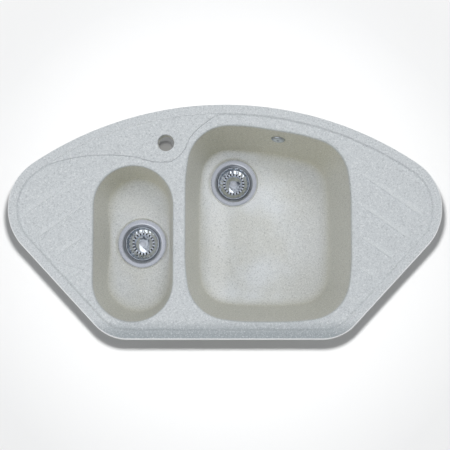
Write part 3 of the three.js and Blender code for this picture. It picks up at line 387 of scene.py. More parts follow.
def flowing_curve(places, spacing):
    """A smooth curve through places: each span is a cubic with end slopes weighed by the square
    roots of the spans beside it. The curve is then cut into even lengths."""
    ends = np.vstack([2 * places[0] - places[1], places, 2 * places[-1] - places[-2]])
    run = np.sqrt(np.hypot(*np.diff(ends, axis=0).T))[:, None]
    before, here, after = run[:-2], run[1:-1], run[2:]
    p0, p1, p2, p3 = ends[:-3], ends[1:-2], ends[2:-1], ends[3:]
    slope1 = here * ((p1 - p0) / before - (p2 - p0) / (before + here) + (p2 - p1) / here)
    slope2 = here * ((p2 - p1) / here - (p3 - p1) / (here + after) + (p3 - p2) / after)
    t = np.linspace(0, 1, 24, endpoint=False)[None, :, None]
    p1, p2, slope1, slope2 = (v[:, None] for v in (p1, p2, slope1, slope2))
    rise = t * t * (3 - 2 * t)
    spans = p1 * (1 - rise) + p2 * rise + slope1 * t * (1 - t) ** 2 - slope2 * t * t * (1 - t)
    curve = np.vstack([spans.reshape(-1, 2), places[-1:]])
    travelled = np.concatenate([[0], np.cumsum(np.hypot(*np.diff(curve, axis=0).T))])
    even = np.linspace(0, travelled[-1], int(travelled[-1] / spacing) + 1)
    return np.column_stack([np.interp(even, travelled, curve[:, k]) for k in (0, 1)])


def signed_distance(points, line):
    """Distance from points to a line of points, positive on the left of its run: the nearest foot
    of a perpendicular, kept within its segment."""
    start, run = line[:-1], np.diff(line, axis=0)
    found = []
    for part in np.array_split(points, len(points) // 2000 + 1):
        offset = part[:, None] - start[None]
        share = np.clip((offset * run).sum(axis=2) / (run**2).sum(axis=1), 0, 1)
        away = offset - share[..., None] * run
        length = np.hypot(away[..., 0], away[..., 1])
        row, k = np.arange(len(part)), length.argmin(axis=1)
        side = run[k, 0] * away[row, k, 1] - run[k, 1] * away[row, k, 0]
        found.append(np.where(side < 0, -1, 1) * length[row, k])
    return np.concatenate(found)


def inside_of(points, loop):
    """Distance inside a closed loop, negative outside it."""
    loop = np.asarray(loop)[:, :2]
    return signed_distance(points, np.vstack([loop, loop[:1]]))


ledge_line = flowing_curve(ledge_front, outline_spacing)

ridge_count = 4
ridge_pitch = 69.5
ridge_angle = np.radians(35.0)
ridge_height = 2.0
ridge_rise = 15.0
ridge_drop = 2.5
ridge_taper = 14.0
ridge_from_bowl = 17.0
ridge_from_edge = 35.0
ridge_from_back = 151.0
ridge_first = back_y - ridge_from_back


def drainer_ridges():
    """Every ridge as its start, its direction down the drainer, the direction square to it towards
    the back, and its length: as far as the line that runs ridge_from_edge inside the outline."""
    found = []
    steps = np.arange(0, half_width, 0.5)
    for side, first_x in ((-1, small_left - ridge_from_bowl), (1, main_right + ridge_from_bowl)):
        along = np.array([side * np.cos(ridge_angle), -np.sin(ridge_angle)])
        back = np.array([side * np.sin(ridge_angle), np.cos(ridge_angle)])
        for k in range(ridge_count):
            start = np.array([first_x, ridge_first - k * ridge_pitch])
            free = inside_of(start + steps[:, None] * along, basin[0]) > ridge_from_edge
            found.append((start, along, back, steps[np.argmin(free)]))
    return found


ridges = drainer_ridges()


def ridge_width(t, length):
    """Width of a ridge's back slope at t along it: half at the bowl's end, whole at the outer end."""
    share = np.clip((t - ridge_taper) / (length - 2 * ridge_taper), 0, 1)
    return ridge_rise * (0.5 + 0.5 * share)


def ridge_heights(points):
    """Height of the ridges: the lower of a back slope and a front drop that meet along each crest,
    both drawn in to a point at the ends."""
    height = np.zeros(len(points))
    for start, along, back, length in ridges:
        t, s = (points - start) @ along, (points - start) @ back
        end = np.minimum(1, np.minimum(t, length - t) / ridge_taper)
        fall = np.where(s > 0, s / ridge_width(t, length), -s / ridge_drop)
        height = np.maximum(height, ridge_height * np.clip(end - fall, 0, 1))
    return height


def eased(share):
    """0 below 0, 1 above 1, and 3 s^2 - 2 s^3 between."""
    share = np.clip(share, 0, 1)
    return share * share * (3 - 2 * share)


def deck_height(points):
    """The top face: the higher of the rim's inner slope and the drainers with their ledge and
    ridges. Both steps ease in and out."""
    inset = inside_of(points, basin[0])
    rim = rim_step * eased(1 - (inset - rim_top_width) / rim_slope_width)
    ledge = (ledge_z - deck_z) * eased(1 + signed_distance(points, ledge_line) / ledge_slope)
    return deck_z + np.maximum(rim, ledge + ridge_heights(points))


def along_ridges():
    """Rows of points along every ridge, close together at its crest and its feet."""
    rows = []
    for start, along, back, length in ridges:
        t = np.arange(-2.0, length + 3.0, 3.0)
        width = ridge_width(t, length)
        front = [-ridge_drop - 1.2, -ridge_drop - 0.3, -ridge_drop + 0.4, -ridge_drop / 2, -0.4]
        across = [np.full(len(t), s) for s in front + [0.0, 0.4]]
        across += [width * share for share in (0.25, 0.5, 0.75)] + [width - 0.6, width + 0.6]
        rows += [start + t[:, None] * along + s[:, None] * back for s in across]
    return np.concatenate(rows)


ledge_rows = [-4.0, -2.7, -2.2, -1.7, -1.25, -0.8, -0.3, 0.3, 1.5]


def along_ledge():
    """Rows of points along the front edge of the tap ledge, on its slope and at its two bends."""
    tangent = np.gradient(ledge_line, axis=0)
    tangent /= np.hypot(*tangent.T)[:, None]
    left = np.column_stack([-tangent[:, 1], tangent[:, 0]])
    return np.concatenate([ledge_line + s * left for s in ledge_rows])


def near_ridge(points, margin):
    """Whether points lie on a ridge or within a margin of it."""
    near = np.zeros(len(points), dtype=bool)
    for start, along, back, length in ridges:
        t, s = (points - start) @ along, (points - start) @ back
        beside = (s > -ridge_drop - margin) & (s < ridge_rise + margin)
        near |= beside & (t > -margin) & (t < length + margin)
    return near


def filled(loops, loose, height):
    """Triangles between an outer loop and the loops of its holes through loose points, by Delaunay's
    rule. Each triangle is found with the loops that it lies in, and stays where that is the outer
    loop alone."""
    flat = [np.asarray(loop)[:, :2] for loop in loops]
    firsts = np.cumsum([0] + [len(loop) for loop in flat])
    faces = [list(range(first, last)) for first, last in zip(firsts[:-1], firsts[1:])]
    points = list(map(Vector, np.concatenate(flat + [loose]).tolist()))
    corners, _, triangles, _, _, within = delaunay_2d_cdt(points, [], faces, 1, 1e-5)
    corners = np.array([tuple(corner) for corner in corners])
    kept = [triangle for triangle, loops_round in zip(triangles, within) if loops_round == [0]]
    return np.column_stack([corners, height(corners)]), np.array(kept)


slope_rows = [1.0, 2.0, 3.0, 4.0, 5.0, 6.0, 7.2]
slope_points = np.concatenate([ring(basin, rim_top_width + s, 0)[:, :2] for s in slope_rows])
loose_spacing = 9.0
row_margin = 3.0
x_line = np.arange(-half_width, half_width, loose_spacing)
y_line = np.arange(front_y, back_y, loose_spacing)
spread = np.stack(np.meshgrid(x_line, y_line), axis=-1)
spread[1::2, :, 0] += loose_spacing / 2
spread = spread.reshape(-1, 2)
spread = spread[~near_ridge(spread, row_margin)]
spread = spread[np.abs(signed_distance(spread, ledge_line)) > row_margin - ledge_rows[0]]


def clear_of_edges(points, margin):
    """Points that lie a margin inside the rim's slope and outside the bowls and the tap hole."""
    clear = inside_of(points, basin[0]) > rim_top_width + slope_rows[-1] + margin
    for loop in (main_rings[0], small_rings[0], tap_rings[0]):
        clear &= inside_of(points, loop) < -margin
    return points[clear]


detail_margin = 1.5
details = [clear_of_edges(rows, detail_margin) for rows in (along_ledge(), along_ridges())]
deck_points = np.concatenate([slope_points, *details, clear_of_edges(spread, row_margin)])
deck_loops = [ring(basin, rim_top_width, 0), main_rings[0], small_rings[0], tap_rings[0]]
deck_surface = filled(deck_loops, deck_points, deck_height)
skirt_root = ring(basin, skirt_inner + underside_fillet, 0)


def plate_height(points):
    """The plate's level underside."""
    return np.full(len(points), plate_under)


under_loops = [skirt_root, main_rings[-1], small_rings[-1], tap_rings[-1]]
under_surface = filled(under_loops, np.empty((0, 2)), plate_height)


def new_piece(name, surfaces):
    """One closed mesh from surfaces (points, faces) in millimetres: their shared points are merged
    and its faces turned outwards."""
    mesh = bpy.data.meshes.new(name)
    counts = np.cumsum([0] + [len(points) for points, _ in surfaces])
    faces = [row for (_, part), first in zip(surfaces, counts) for row in (part + first).tolist()]
    mesh.from_pydata((np.concatenate([points for points, _ in surfaces]) * mm).tolist(), [], faces)
    shell = bmesh.new()
    shell.from_mesh(mesh)
    bmesh.ops.remove_doubles(shell, verts=shell.verts, dist=0.01 * mm)
    bmesh.ops.recalc_face_normals(shell, faces=shell.faces)
    shell.to_mesh(mesh)
    shell.free()
    piece = bpy.data.objects.new(name, mesh)
    bpy.context.scene.collection.objects.link(piece)
    return piece


def joined(piece, tools, operation):
    """A piece with solids added to it (UNION) or cut out of it (DIFFERENCE)."""
    tool = new_piece("tool", tools)
    step = piece.modifiers.new("join", "BOOLEAN")
    step.object = tool
    step.operation = operation
    step.solver = "MANIFOLD"
    made = piece.evaluated_get(bpy.context.evaluated_depsgraph_get())
    piece.data = bpy.data.meshes.new_from_object(made)
    piece.modifiers.clear()
    bpy.data.objects.remove(tool)
    return piece


def turned(profile, sides=round_steps, wave=None, swell=None, closed=False):
    """A profile (radius, height) turned about the z axis: (r cos a, r sin a, z). A wave adds to the
    height and a swell to the radius, each worked out from radius, height and angle."""
    angle = np.linspace(0, 2 * np.pi, sides, endpoint=False)[None]
    profile = np.asarray(profile, dtype=float)
    r, z = profile[:, :1] + 0 * angle, profile[:, 1:2] + 0 * angle
    if wave is not None:
        z = z + wave(r, z, angle)
    if swell is not None:
        r = r + swell(r, z, angle)
    return lofted(np.stack([r * np.cos(angle), r * np.sin(angle), z], axis=-1), closed)


def set_in(surface, matrix):
    """A surface moved by a 4 x 4 matrix."""
    points, faces = surface
    return points @ matrix[:3, :3].T + matrix[:3, 3], faces


def moved(surface, place):
    """A surface moved by (x, y, z)."""
    return surface[0] + np.asarray(place, dtype=float), surface[1]


def rod(radius, bottom, top, sides=round_steps):
    """A plain upright cylinder, closed to its axis at both ends."""
    return turned([(0, bottom), (radius, bottom), (radius, top), (0, top)], sides)


overflow_from_middle = 28.0
overflow_depth = 61.0
overflow_x = main_middle + overflow_from_middle
overflow_z = rim_height - overflow_depth
overflow_hole = 11.5
overflow_pad = 23.0
overflow_pad_height = 1.0
pad_face = bowl_wall + overflow_pad_height


def overflow_frame():
    """Axes of the overflow: x along the bowl's back wall, y up it and z out through it, turned by
    the back edge's slope and tipped by the wall's draft."""
    inset = (deck_z - bowl_edge - overflow_z) * np.tan(bowl_draft)
    across = np.array([np.cos(main_back_slope), -np.sin(main_back_slope), 0.0])
    level = np.array([np.sin(main_back_slope), np.cos(main_back_slope), 0.0])
    outward = level * np.cos(bowl_draft) - np.array([0, 0, np.sin(bowl_draft)])
    matrix = np.eye(4)
    matrix[:3, 0], matrix[:3, 1], matrix[:3, 2] = across, np.cross(outward, across), outward
    matrix[:3, 3] = np.array([overflow_x, main_back(overflow_x), overflow_z]) - inset * level
    return matrix


overflow = overflow_frame()

clip_boss = 6.0
clip_boss_bottom = -16.0
clip_bore = 2.8
clip_bore_top = -6.0


def clip_places():
    """Where the clips stand, from the frame: the axis of each clip screw."""
    names = sorted(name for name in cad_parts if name.startswith("clip_screw"))
    corners = [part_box(name) for name in names]
    return [np.array([(a.x + b.x) / 2, (a.y + b.y) / 2, 0]) / mm for a, b in corners]


clips = clip_places()
hollows = [lofted(rings) for rings in (main_rings, small_rings, tap_rings)]
moulding = new_piece("moulding", [rim_surface, deck_surface, under_surface, *hollows])
boss_profile = filleted(
    [(0, clip_boss_bottom, 0), (clip_boss, clip_boss_bottom, 0.8), (clip_boss, -1, 0), (0, -1, 0)]
)
added = [moved(turned(boss_profile, 32), place) for place in clips]
added.append(set_in(rod(overflow_pad, bowl_wall / 2, pad_face), overflow))
cut = [moved(rod(clip_bore, clip_boss_bottom - 1, clip_bore_top, 24), place) for place in clips]
cut.append(set_in(rod(overflow_hole, -bowl_wall, pad_face + 1), overflow))
joined(moulding, added, "UNION")
joined(moulding, cut, "DIFFERENCE")


class Socket:
    """An output of a shader node. + - * with another one, or with a number, add a Math node."""

    def __init__(self, tree, output=None):
        """Holds a node tree and one output in it."""
        self.tree = tree
        self.output = output

    def node(self, kind, inputs=None, output=0, **settings):
        """Adds a node, sets its settings, then fills its inputs from values and other sockets."""
        made = self.tree.nodes.new(kind)
        for name, value in settings.items():
            setattr(made, name, value)
        for name, value in (inputs or {}).items():
            if isinstance(value, Socket):
                self.tree.links.new(value.output, made.inputs[name])
            else:
                made.inputs[name].default_value = value
        return Socket(self.tree, made.outputs[output]) if len(made.outputs) else None

    def maths(self, operation, other):
        """A Math node of this socket and another value."""
        return self.node("ShaderNodeMath", {0: self, 1: other}, operation=operation)

    def __add__(self, other):
        """This plus the other."""
        return self.maths("ADD", other)

    def __sub__(self, other):
        """This less the other."""
        return self.maths("SUBTRACT", other)

    def __mul__(self, other):
        """This times the other."""
        return self.maths("MULTIPLY", other)

    __radd__ = __add__


def new_material(name):
    """An empty node material and the socket that its nodes start from."""
    material = bpy.data.materials.new(name)
    material.use_nodes = True
    material.node_tree.nodes.clear()
    return material, Socket(material.node_tree)


def mixed(factor, *colours):
    """A colour that goes from the first to the second as the factor goes from 0 to 1. Each is a
    socket or (red, green, blue)."""
    first, second = ((*c, 1) if isinstance(c, tuple) else c for c in colours)
    inputs = {0: factor, 6: first, 7: second}
    return factor.node("ShaderNodeMix", inputs, output=2, data_type="RGBA")


def position(start):
    """Where a point of the object lies, in metres."""
    return start.node("ShaderNodeTexCoord", output="Object")


def part(vector, axis):
    """A vector's share along X, Y or Z."""
    return vector.node("ShaderNodeSeparateXYZ", {0: vector}, output=axis)


def size_of(vector):
    """A vector's length."""
    return vector.node("ShaderNodeVectorMath", {0: vector}, output="Value", operation="LENGTH")


def relief(height, depth, strength=0.1):
    """A bump as deep as depth metres where the height is 1."""
    return height.node("ShaderNodeBump", {"Strength": strength, "Distance": depth, "Height": height})


def noise(place, scale, detail=2.0, rough=0.5):
    """Soft random value near 0.5 that changes over about 1 / scale metres."""
    inputs = {"Vector": place, "Scale": scale, "Detail": detail, "Roughness": rough}
    return place.node("ShaderNodeTexNoise", inputs)


def surfaced(start, **inputs):
    """Ends a material: a Principled shader with the given inputs, whose names have _ for spaces."""
    named = {name.replace("_", " "): value for name, value in inputs.items()}
    shader = start.node("ShaderNodeBsdfPrincipled", named)
    start.node("ShaderNodeOutputMaterial", {"Surface": shader})


def between(value, low, high):
    """Goes from 0 to 1 as a value goes from low to high, and stays there beyond them."""
    return value.node("ShaderNodeMapRange", {0: value, 1: low, 2: high, 3: 0.0, 4: 1.0})


def composite():
    """Speckled quartz composite: a cool pale grey ground with painted shade that deepens along the front,
    and painted light and shade in the bowls: olive walls for warm bounce light, deepest where they face
    the front, and floors clouded at random, with a pale painted streak of light and painted shade to the
    right and left. Grains of sand in two sizes lie in it, some darker and some lighter. A painted
    highlight makes it paler on the ridges and white along the front half of the outer edge."""
    material, start = new_material("quartz_composite")
    place = position(start)
    facing = start.node("ShaderNodeNewGeometry", output="Normal")
    sideways, forward, height = (part(place, axis) for axis in "XYZ")
    ahead, level = part(facing, "Y"), part(facing, "Z")
    clouds = noise(place, 9.0, detail=4.0)
    # painted shade: the deck turns darker over the band from 34 to 4 mm behind the front seat
    deck_tone = mixed(between(forward, 0.034, 0.004), (0.582, 0.610, 0.627), (0.335, 0.37, 0.39))
    floor_tone = mixed(between(clouds, 0.38, 0.62), (0.655, 0.668, 0.652), (0.745, 0.775, 0.805))
    # painted light: a pale streak across the large bowl's floor, left of its waste
    painted_light_streak = between(sideways, -0.050, -0.030) * between(sideways, 0.015, -0.005)
    floor_tone = mixed(painted_light_streak * 0.45, floor_tone, (0.92, 0.93, 0.935))
    # painted shade: the floors darken towards the right and, less, towards the left
    floor_tone = mixed(between(sideways, 0.12, 0.20) * 0.7, floor_tone, (0.55, 0.56, 0.555))
    floor_tone = mixed(between(sideways, -0.06, -0.09) * 0.4, floor_tone, (0.54, 0.55, 0.54))
    # painted bounce light and shade: olive walls, deepest on those that face the front, lighter on those     that face the back and lightest on those that face the sides
    wall_tone = mixed(between(ahead, -0.2, -0.8), (0.665, 0.662, 0.600), (0.600, 0.585, 0.475))
    wall_tone = mixed(between(ahead, 0.2, 0.8), wall_tone, (0.605, 0.600, 0.535))
    bowl_tone = mixed(between(level, 0.97, 0.35), floor_tone, wall_tone)
    tone = mixed(between(height, 0.003, -0.006), deck_tone, bowl_tone)
    for scale, share in ((290.0, 0.50), (640.0, 0.45)):
        grain = noise(place, scale, detail=3.0, rough=0.6)
        tone = mixed(between(grain, 0.46, 0.28) * share, tone, (0.24, 0.255, 0.27))
        tone = mixed(between(grain, 0.55, 0.72) * share, tone, (0.93, 0.94, 0.94))
    # painted highlight: the ridges turn paler the higher they rise
    crest = start.node("ShaderNodeAttribute", output="Fac", attribute_name="ridge")
    tone = mixed(crest * 0.24, tone, (0.80, 0.83, 0.84))
    # painted highlight: a white line along the front half of the outer edge
    edge = start.node("ShaderNodeAttribute", output="Fac", attribute_name="from_edge")
    painted_edge_highlight = between(edge, 0.0048, 0.0028) * between(forward, 0.36, 0.26)
    tone = mixed(painted_edge_highlight, tone, (1.0, 1.0, 1.0))
    rough = 0.42 + noise(place, 480.0) * 0.18
    fine = relief(noise(place, 900.0), 0.0002, strength=0.12)
    surfaced(start, Base_Color=tone, Roughness=rough, Normal=fine, IOR=1.5)
    return material


def finished(piece, material, body, nodes, sharp=40.0):
    """Gives a piece its material, shading, body and finish, in place of its CAD nodes."""
    mesh = piece.data
    mesh.materials.clear()
    mesh.materials.append(material)
    mesh.shade_smooth()
    mesh.set_sharp_from_angle(angle=np.radians(sharp))
    weighted = piece.modifiers.new("normals", "WEIGHTED_NORMAL")
    weighted.keep_sharp = True
    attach(piece, body)
    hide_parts(*nodes)
    return piece


places = np.empty(3 * len(moulding.data.vertices))
moulding.data.vertices.foreach_get("co", places)
places = places.reshape(-1, 3)[:, :2] / mm
marks = {
    "from_edge": inside_of(places, basin[0]) * mm,
    "ridge": np.sqrt(ridge_heights(places) / ridge_height),
}
for name, values in marks.items():
    moulding.data.attributes.new(name, "FLOAT", "POINT").data.foreach_set("value", values)
finished(moulding, composite(), "sink", ["sink_moulding"])

# ------------------------------------------------------------------ waste flanges
# One in each bowl: a flange and its cup pressed from a single sheet of satin stainless steel, with
# a rolled lip outside, a shoulder round the basket's rim and six drain holes in the cup's foot. A
# seal lies under it, and the centre screw pulls it down on the dished seat.

sheet_thickness = 1.2
flange_radius = 57.0
cup_top = 45.0
cup_foot = 39.0
cup_depth = 32.0
cup_holes = 6
cup_hole = 7.0
cup_hole_pitch = 18.0
screw_bore = 3.3
seal_thickness = 1.5
lip_height = 1.8
shoulder_inner = 41.5
shoulder_outer = 43.4
shoulder_drop = 8.0  # below the lip
shoulder_fall = 0.6
flange_under = seal_thickness + 2 * clearance
lip_top = flange_under + lip_height
cup_floor = lip_top - cup_depth
fine_sides = 120


def sheet(middle, thickness=sheet_thickness):
    """Both faces of a bent sheet: its middle line moved half a thickness to each side along the
    normals, as one closed loop."""
    tangent = np.gradient(middle, axis=0)
    tangent /= np.hypot(*tangent.T)[:, None]
    normal = np.column_stack([tangent[:, 1], -tangent[:, 0]]) * thickness / 2
    return np.concatenate([middle + normal, (middle - normal)[::-1]])


def holes_round(hole, count, pitch, first=0.0):
    """Copies of an upright tool, evenly round the z axis at a pitch radius."""
    made = []
    for angle in first + 2 * np.pi * np.arange(count) / count:
        turn = np.eye(4)
        turn[:2, :2] = [[np.cos(angle), -np.sin(angle)], [np.sin(angle), np.cos(angle)]]
        made.append(set_in(moved(hole, (pitch, 0, 0)), turn))
    return made


half_sheet = sheet_thickness / 2
flange_middle = filleted(
    [
        (screw_bore, cup_floor - half_sheet, 0),
        (cup_foot, cup_floor - half_sheet, 3.0),
        (shoulder_inner + half_sheet, lip_top - shoulder_drop - half_sheet, 1.2),
        (shoulder_outer + half_sheet, lip_top - shoulder_drop + shoulder_fall, 1.2),
        (cup_top + half_sheet, lip_top - half_sheet, 4.0),
        (flange_radius - half_sheet, lip_top - half_sheet, 1.6),
        (flange_radius - half_sheet, flange_under + 0.1, 0),
    ],
    steps=10,
)


def steel(name, colour, roughness, centre, brushed):
    """Stainless steel, turned or pressed about a centre: its roughness and relief vary in fine rings
    round that centre by a share, and softly all over."""
    material, start = new_material(name)
    place = position(start)
    shift = {"Location": (-centre[0] * mm, -centre[1] * mm, 0)}
    about = start.node("ShaderNodeMapping", {"Vector": place, **shift})
    flat = start.node("ShaderNodeVectorMath", {0: about, 1: (1, 1, 0)}, operation="MULTIPLY")
    pattern = {"W": size_of(flat), "Scale": 2600.0, "Detail": 2.0}
    lines = start.node("ShaderNodeTexNoise", pattern, noise_dimensions="1D")
    smudge = noise(place, 60.0, detail=3.0)
    rough = roughness + (lines - 0.5) * brushed + (smudge - 0.5) * 0.12
    tone = mixed(smudge, tuple(0.93 * c for c in colour), colour)
    surfaced(start, Base_Color=tone, Roughness=rough, Metallic=1.0, Normal=relief(lines, 0.00005))
    return material


satin = {
    bowl: steel(f"satin_steel_{bowl}", (0.775, 0.80, 0.87), 0.30, waste, 0.16)
    for bowl, waste in wastes.items()
}
pressed = turned(sheet(flange_middle), fine_sides, closed=True)
drill = rod(cup_hole, cup_floor - 3, cup_floor + 1.5, 48)
drills = holes_round(drill, cup_holes, cup_hole_pitch)
for bowl, waste in wastes.items():
    flange = new_piece(f"{bowl}_flange", [moved(pressed, waste)])
    joined(flange, [moved(drill, waste) for drill in drills], "DIFFERENCE")
    finished(flange, satin[bowl], "sink", [f"{bowl}_waste_flange"])

# ------------------------------------------------------------------ strainer baskets
# A removable basket stands in each cup: a low dome with a ring of drain holes round it, a shallow
# fluted slope, a steep wall and a rolled rim, pressed from bright stainless steel. A turned knob
# lifts it, and a rubber stopper closes the cup below it.

basket_rim = 40.0
basket_wall_foot = 35.0
basket_wall_top = 38.6
basket_foot = 26.5
basket_dome = 22.5
basket_dome_height = 5.0
basket_slope_rise = 4.0
basket_holes = 20
basket_hole_half = np.array([2.9, 1.9])
basket_height = 22.0
basket_lip = 1.9
basket_punch = 3.2  # reach of the punches above the basket's underside
flute_depth = 0.8
stopper_thickness = 3.0
basket_under = cup_floor + clearance + stopper_thickness + clearance
basket_top = basket_under + basket_height
foot_line = basket_under + half_sheet
dome_r = np.linspace(screw_bore, basket_dome, 14)
dome_z = foot_line + basket_dome_height * (1 - (dome_r / basket_dome) ** 2)
dome_line = np.column_stack([dome_r, dome_z])
outer_line = filleted(
    [
        (basket_dome + 0.01, foot_line, 0),
        (basket_foot, foot_line, 1.5),
        (basket_wall_foot, foot_line + basket_slope_rise, 1.2),
        (basket_wall_top, basket_top - half_sheet, 1.2),
        (basket_rim - 0.9, basket_top - half_sheet, 0.8),
        (basket_rim - half_sheet, basket_top - basket_lip, 0),
    ],
    steps=6,
)
# the flutes need rows of points along their slope
slope_shares = np.linspace(0.12, 0.88, 8)[:, None]
slope_start = np.array([basket_foot, foot_line])
slope_end = np.array([basket_wall_foot, foot_line + basket_slope_rise])
slope = slope_start + slope_shares * (slope_end - slope_start)
split = np.searchsorted(outer_line[:, 0], basket_foot + 1.5)
basket_line = np.vstack([dome_line, outer_line[1:split], slope, outer_line[split:]])


def flutes(radius, height, angle):
    """Flutes of the shallow slope: 20 rounded lobes |sin(10 a)| that swell from its foot and die out
    at the wall."""
    share = np.clip((radius - basket_foot) / (basket_wall_foot - basket_foot), 0, 1)
    swell = np.sin(np.pi * share) ** 0.7
    return flute_depth * swell * (np.abs(np.sin(basket_holes / 2 * angle)) - 0.5)


bright = {
    bowl: steel(f"bright_steel_{bowl}", (0.785, 0.83, 0.895), 0.11, waste, 0.05)
    for bowl, waste in wastes.items()
}
hole_angles = np.linspace(0, 2 * np.pi, 20, endpoint=False)
hole_outline = unit(hole_angles).T * basket_hole_half


def bar(flat, bottom, top):
    """An upright bar of any outline, closed at both ends by fans to its middle."""
    middle = np.repeat(flat.mean(axis=0)[None], len(flat), axis=0)
    levels = [(middle, bottom), (flat, bottom), (flat, top), (middle, top)]
    return lofted([np.column_stack([points, np.full(len(points), z)]) for points, z in levels])


fluted = turned(sheet(basket_line), 10 * basket_holes, wave=flutes, closed=True)
punch = bar(hole_outline, basket_under - 1, basket_under + basket_punch)
punches = holes_round(punch, basket_holes, (basket_dome + basket_foot) / 2)
for bowl, waste in wastes.items():
    basket = new_piece(f"{bowl}_basket", [moved(fluted, waste)])
    joined(basket, [moved(punch, waste) for punch in punches], "DIFFERENCE")
    finished(basket, bright[bowl], f"{bowl}_strainer", [f"{bowl}_strainer_basket"])

stem_radius = 3.0
knob_foot = 4.4
knob_neck = 4.0
knob_radius = 7.0
knob_seat = basket_under + sheet_thickness + basket_dome_height
knob_neck_top = knob_seat + 4.5
knob_head_foot = knob_seat + 6.0
knob_head_top = knob_seat + 8.0
knob_crown = knob_seat + 8.8
for bowl, waste in wastes.items():
    low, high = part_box(f"{bowl}_basket_knob")
    stem_tip = low.z / mm - waste[2]
    knob_profile = filleted(
        [
            (0, stem_tip, 0),
            (stem_radius, stem_tip, 0.5),
            (stem_radius, knob_seat, 0),
            (knob_foot, knob_seat, 0.4),
            (knob_neck, knob_neck_top, 0.8),
            (knob_radius, knob_head_foot, 0.9),
            (knob_radius, knob_head_top, 1.0),
            (0, knob_crown, 0),
        ],
        steps=5,
    )
    knob = new_piece(f"{bowl}_knob", [moved(turned(knob_profile, 64), waste)])
    finished(knob, satin[bowl], f"{bowl}_strainer", [f"{bowl}_basket_knob"])

# ------------------------------------------------------------------ overflow rosette
# The cap over the overflow hole in the large bowl's back wall: a shallow pressed dome in bright
# steel, open round its foot, held by one countersunk screw in its middle.

rosette_radius = 16.0
rosette_height = 5.0
rosette_edge = 1.2
rosette_sink = 5.5
rosette_line_r = np.linspace(rosette_sink, rosette_radius - half_sheet, 16)
rosette_rise = rosette_height - half_sheet - rosette_edge
rosette_share = 1 - (rosette_line_r / (rosette_radius - half_sheet)) ** 6
rosette_face = -clearance - rosette_edge - rosette_rise * rosette_share
rosette_front = -clearance - rosette_height
countersink_bore = 2.8
countersink_rim = 4.2
rosette_line = np.vstack(
    [
        [(countersink_bore, rosette_front + 2.0), (countersink_rim, rosette_front + 1.3)],
        np.column_stack([rosette_line_r, rosette_face]),
        [(rosette_radius - half_sheet, -clearance)],
    ]
)
rosette = new_piece("rosette", [set_in(turned(sheet(rosette_line), 96, closed=True), overflow)])
# painted shade: the rosette and its screw take a steel darker than the baskets' bright steel
chrome = steel("bright_rosette", (0.50, 0.535, 0.56), 0.10, (overflow_x, main_back(overflow_x)), 0.04)
finished(rosette, chrome, "sink", ["overflow_rosette"])

# a crossed recess takes the screwdriver in the rosette's countersunk screw
screw_crown = rosette_front - 0.6
screw_head = 4.5
screw_shank = 2.5
screw_length = 17.8
screw_tip = screw_crown + screw_length
screw_profile = filleted(
    [
        (0, screw_crown, 0),
        (screw_head, screw_crown + 0.3, 0.2),
        (screw_shank, screw_crown + 1.8, 0.3),
        (screw_shank, screw_tip, 0.3),
        (0, screw_tip, 0),
    ]
)
recess_length = 4.6
recess_width = 1.0
recess_depth = 1.2


def bar_outline(length, width):
    """A rectangle round the origin, four corners in turn."""
    return np.array([(-length, -width), (length, -width), (length, width), (-length, width)]) / 2


rosette_screw = new_piece("rosette_screw", [set_in(turned(screw_profile, 48), overflow)])
for size in ((recess_length, recess_width), (recess_width, recess_length)):
    blade = bar(bar_outline(*size), screw_crown - 1, screw_crown + recess_depth)
    joined(rosette_screw, [set_in(blade, overflow)], "DIFFERENCE")
finished(rosette_screw, chrome, "sink", ["overflow_screw"])

# ------------------------------------------------------------------ seals and stoppers
# Flat rings of black rubber lie under each flange, between each bowl and its waste body, and behind
# the overflow. A moulded rubber disc with a hub for the knob's stem hangs under each basket.

ring_edge = 0.3
seal_inset = 1.5


def plastic(name, colour, roughness):
    """Moulded plastic or rubber: an even colour that clouds a little, with a fine grained face."""
    material, start = new_material(name)
    place = position(start)
    tone = mixed(noise(place, 35.0), tuple(0.9 * c for c in colour), colour)
    grain = noise(place, 180.0)
    rough = roughness + (grain - 0.5) * 0.1
    surfaced(start, Base_Color=tone, Roughness=rough, Normal=relief(grain, 0.0002))
    return material


def rubber_ring(inner, outer, bottom, top):
    """A flat ring with slightly rounded edges."""
    middle = (bottom + top) / 2
    corners = [(inner, bottom), (outer, bottom), (outer, top), (inner, top)]
    rounded = [(r, z, ring_edge) for r, z in corners]
    return turned(filleted([(inner, middle, 0), *rounded, (inner, middle, 0)], steps=3), fine_sides)


def upright(node):
    """An upright round node's axis, outer radius, bottom and top, from the frame."""
    low, high = (np.array(corner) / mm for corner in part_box(node))
    return (low[:2] + high[:2]) / 2, (high[0] - low[0]) / 2, low[2], high[2]


rubber = plastic("black_rubber", (0.018, 0.018, 0.018), 0.7)
for bowl in wastes:
    for node in (f"{bowl}_flange_seal", f"{bowl}_body_gasket"):
        axis, radius, bottom, top = upright(node)
        seal_ring = rubber_ring(waste_hole + seal_inset, radius, bottom, top)
        seal = new_piece(node + "_ring", [moved(seal_ring, (*axis, 0))])
        finished(seal, rubber, "sink", [node])

elbow_flange = 19.0
ring_radii = (overflow_hole + seal_inset, elbow_flange - seal_inset)
ring_face = pad_face + clearance
wall_ring = rubber_ring(*ring_radii, ring_face, ring_face + seal_thickness)
wall_seal = new_piece("overflow_ring", [set_in(wall_ring, overflow)])
finished(wall_seal, rubber, "sink", ["overflow_seal"])

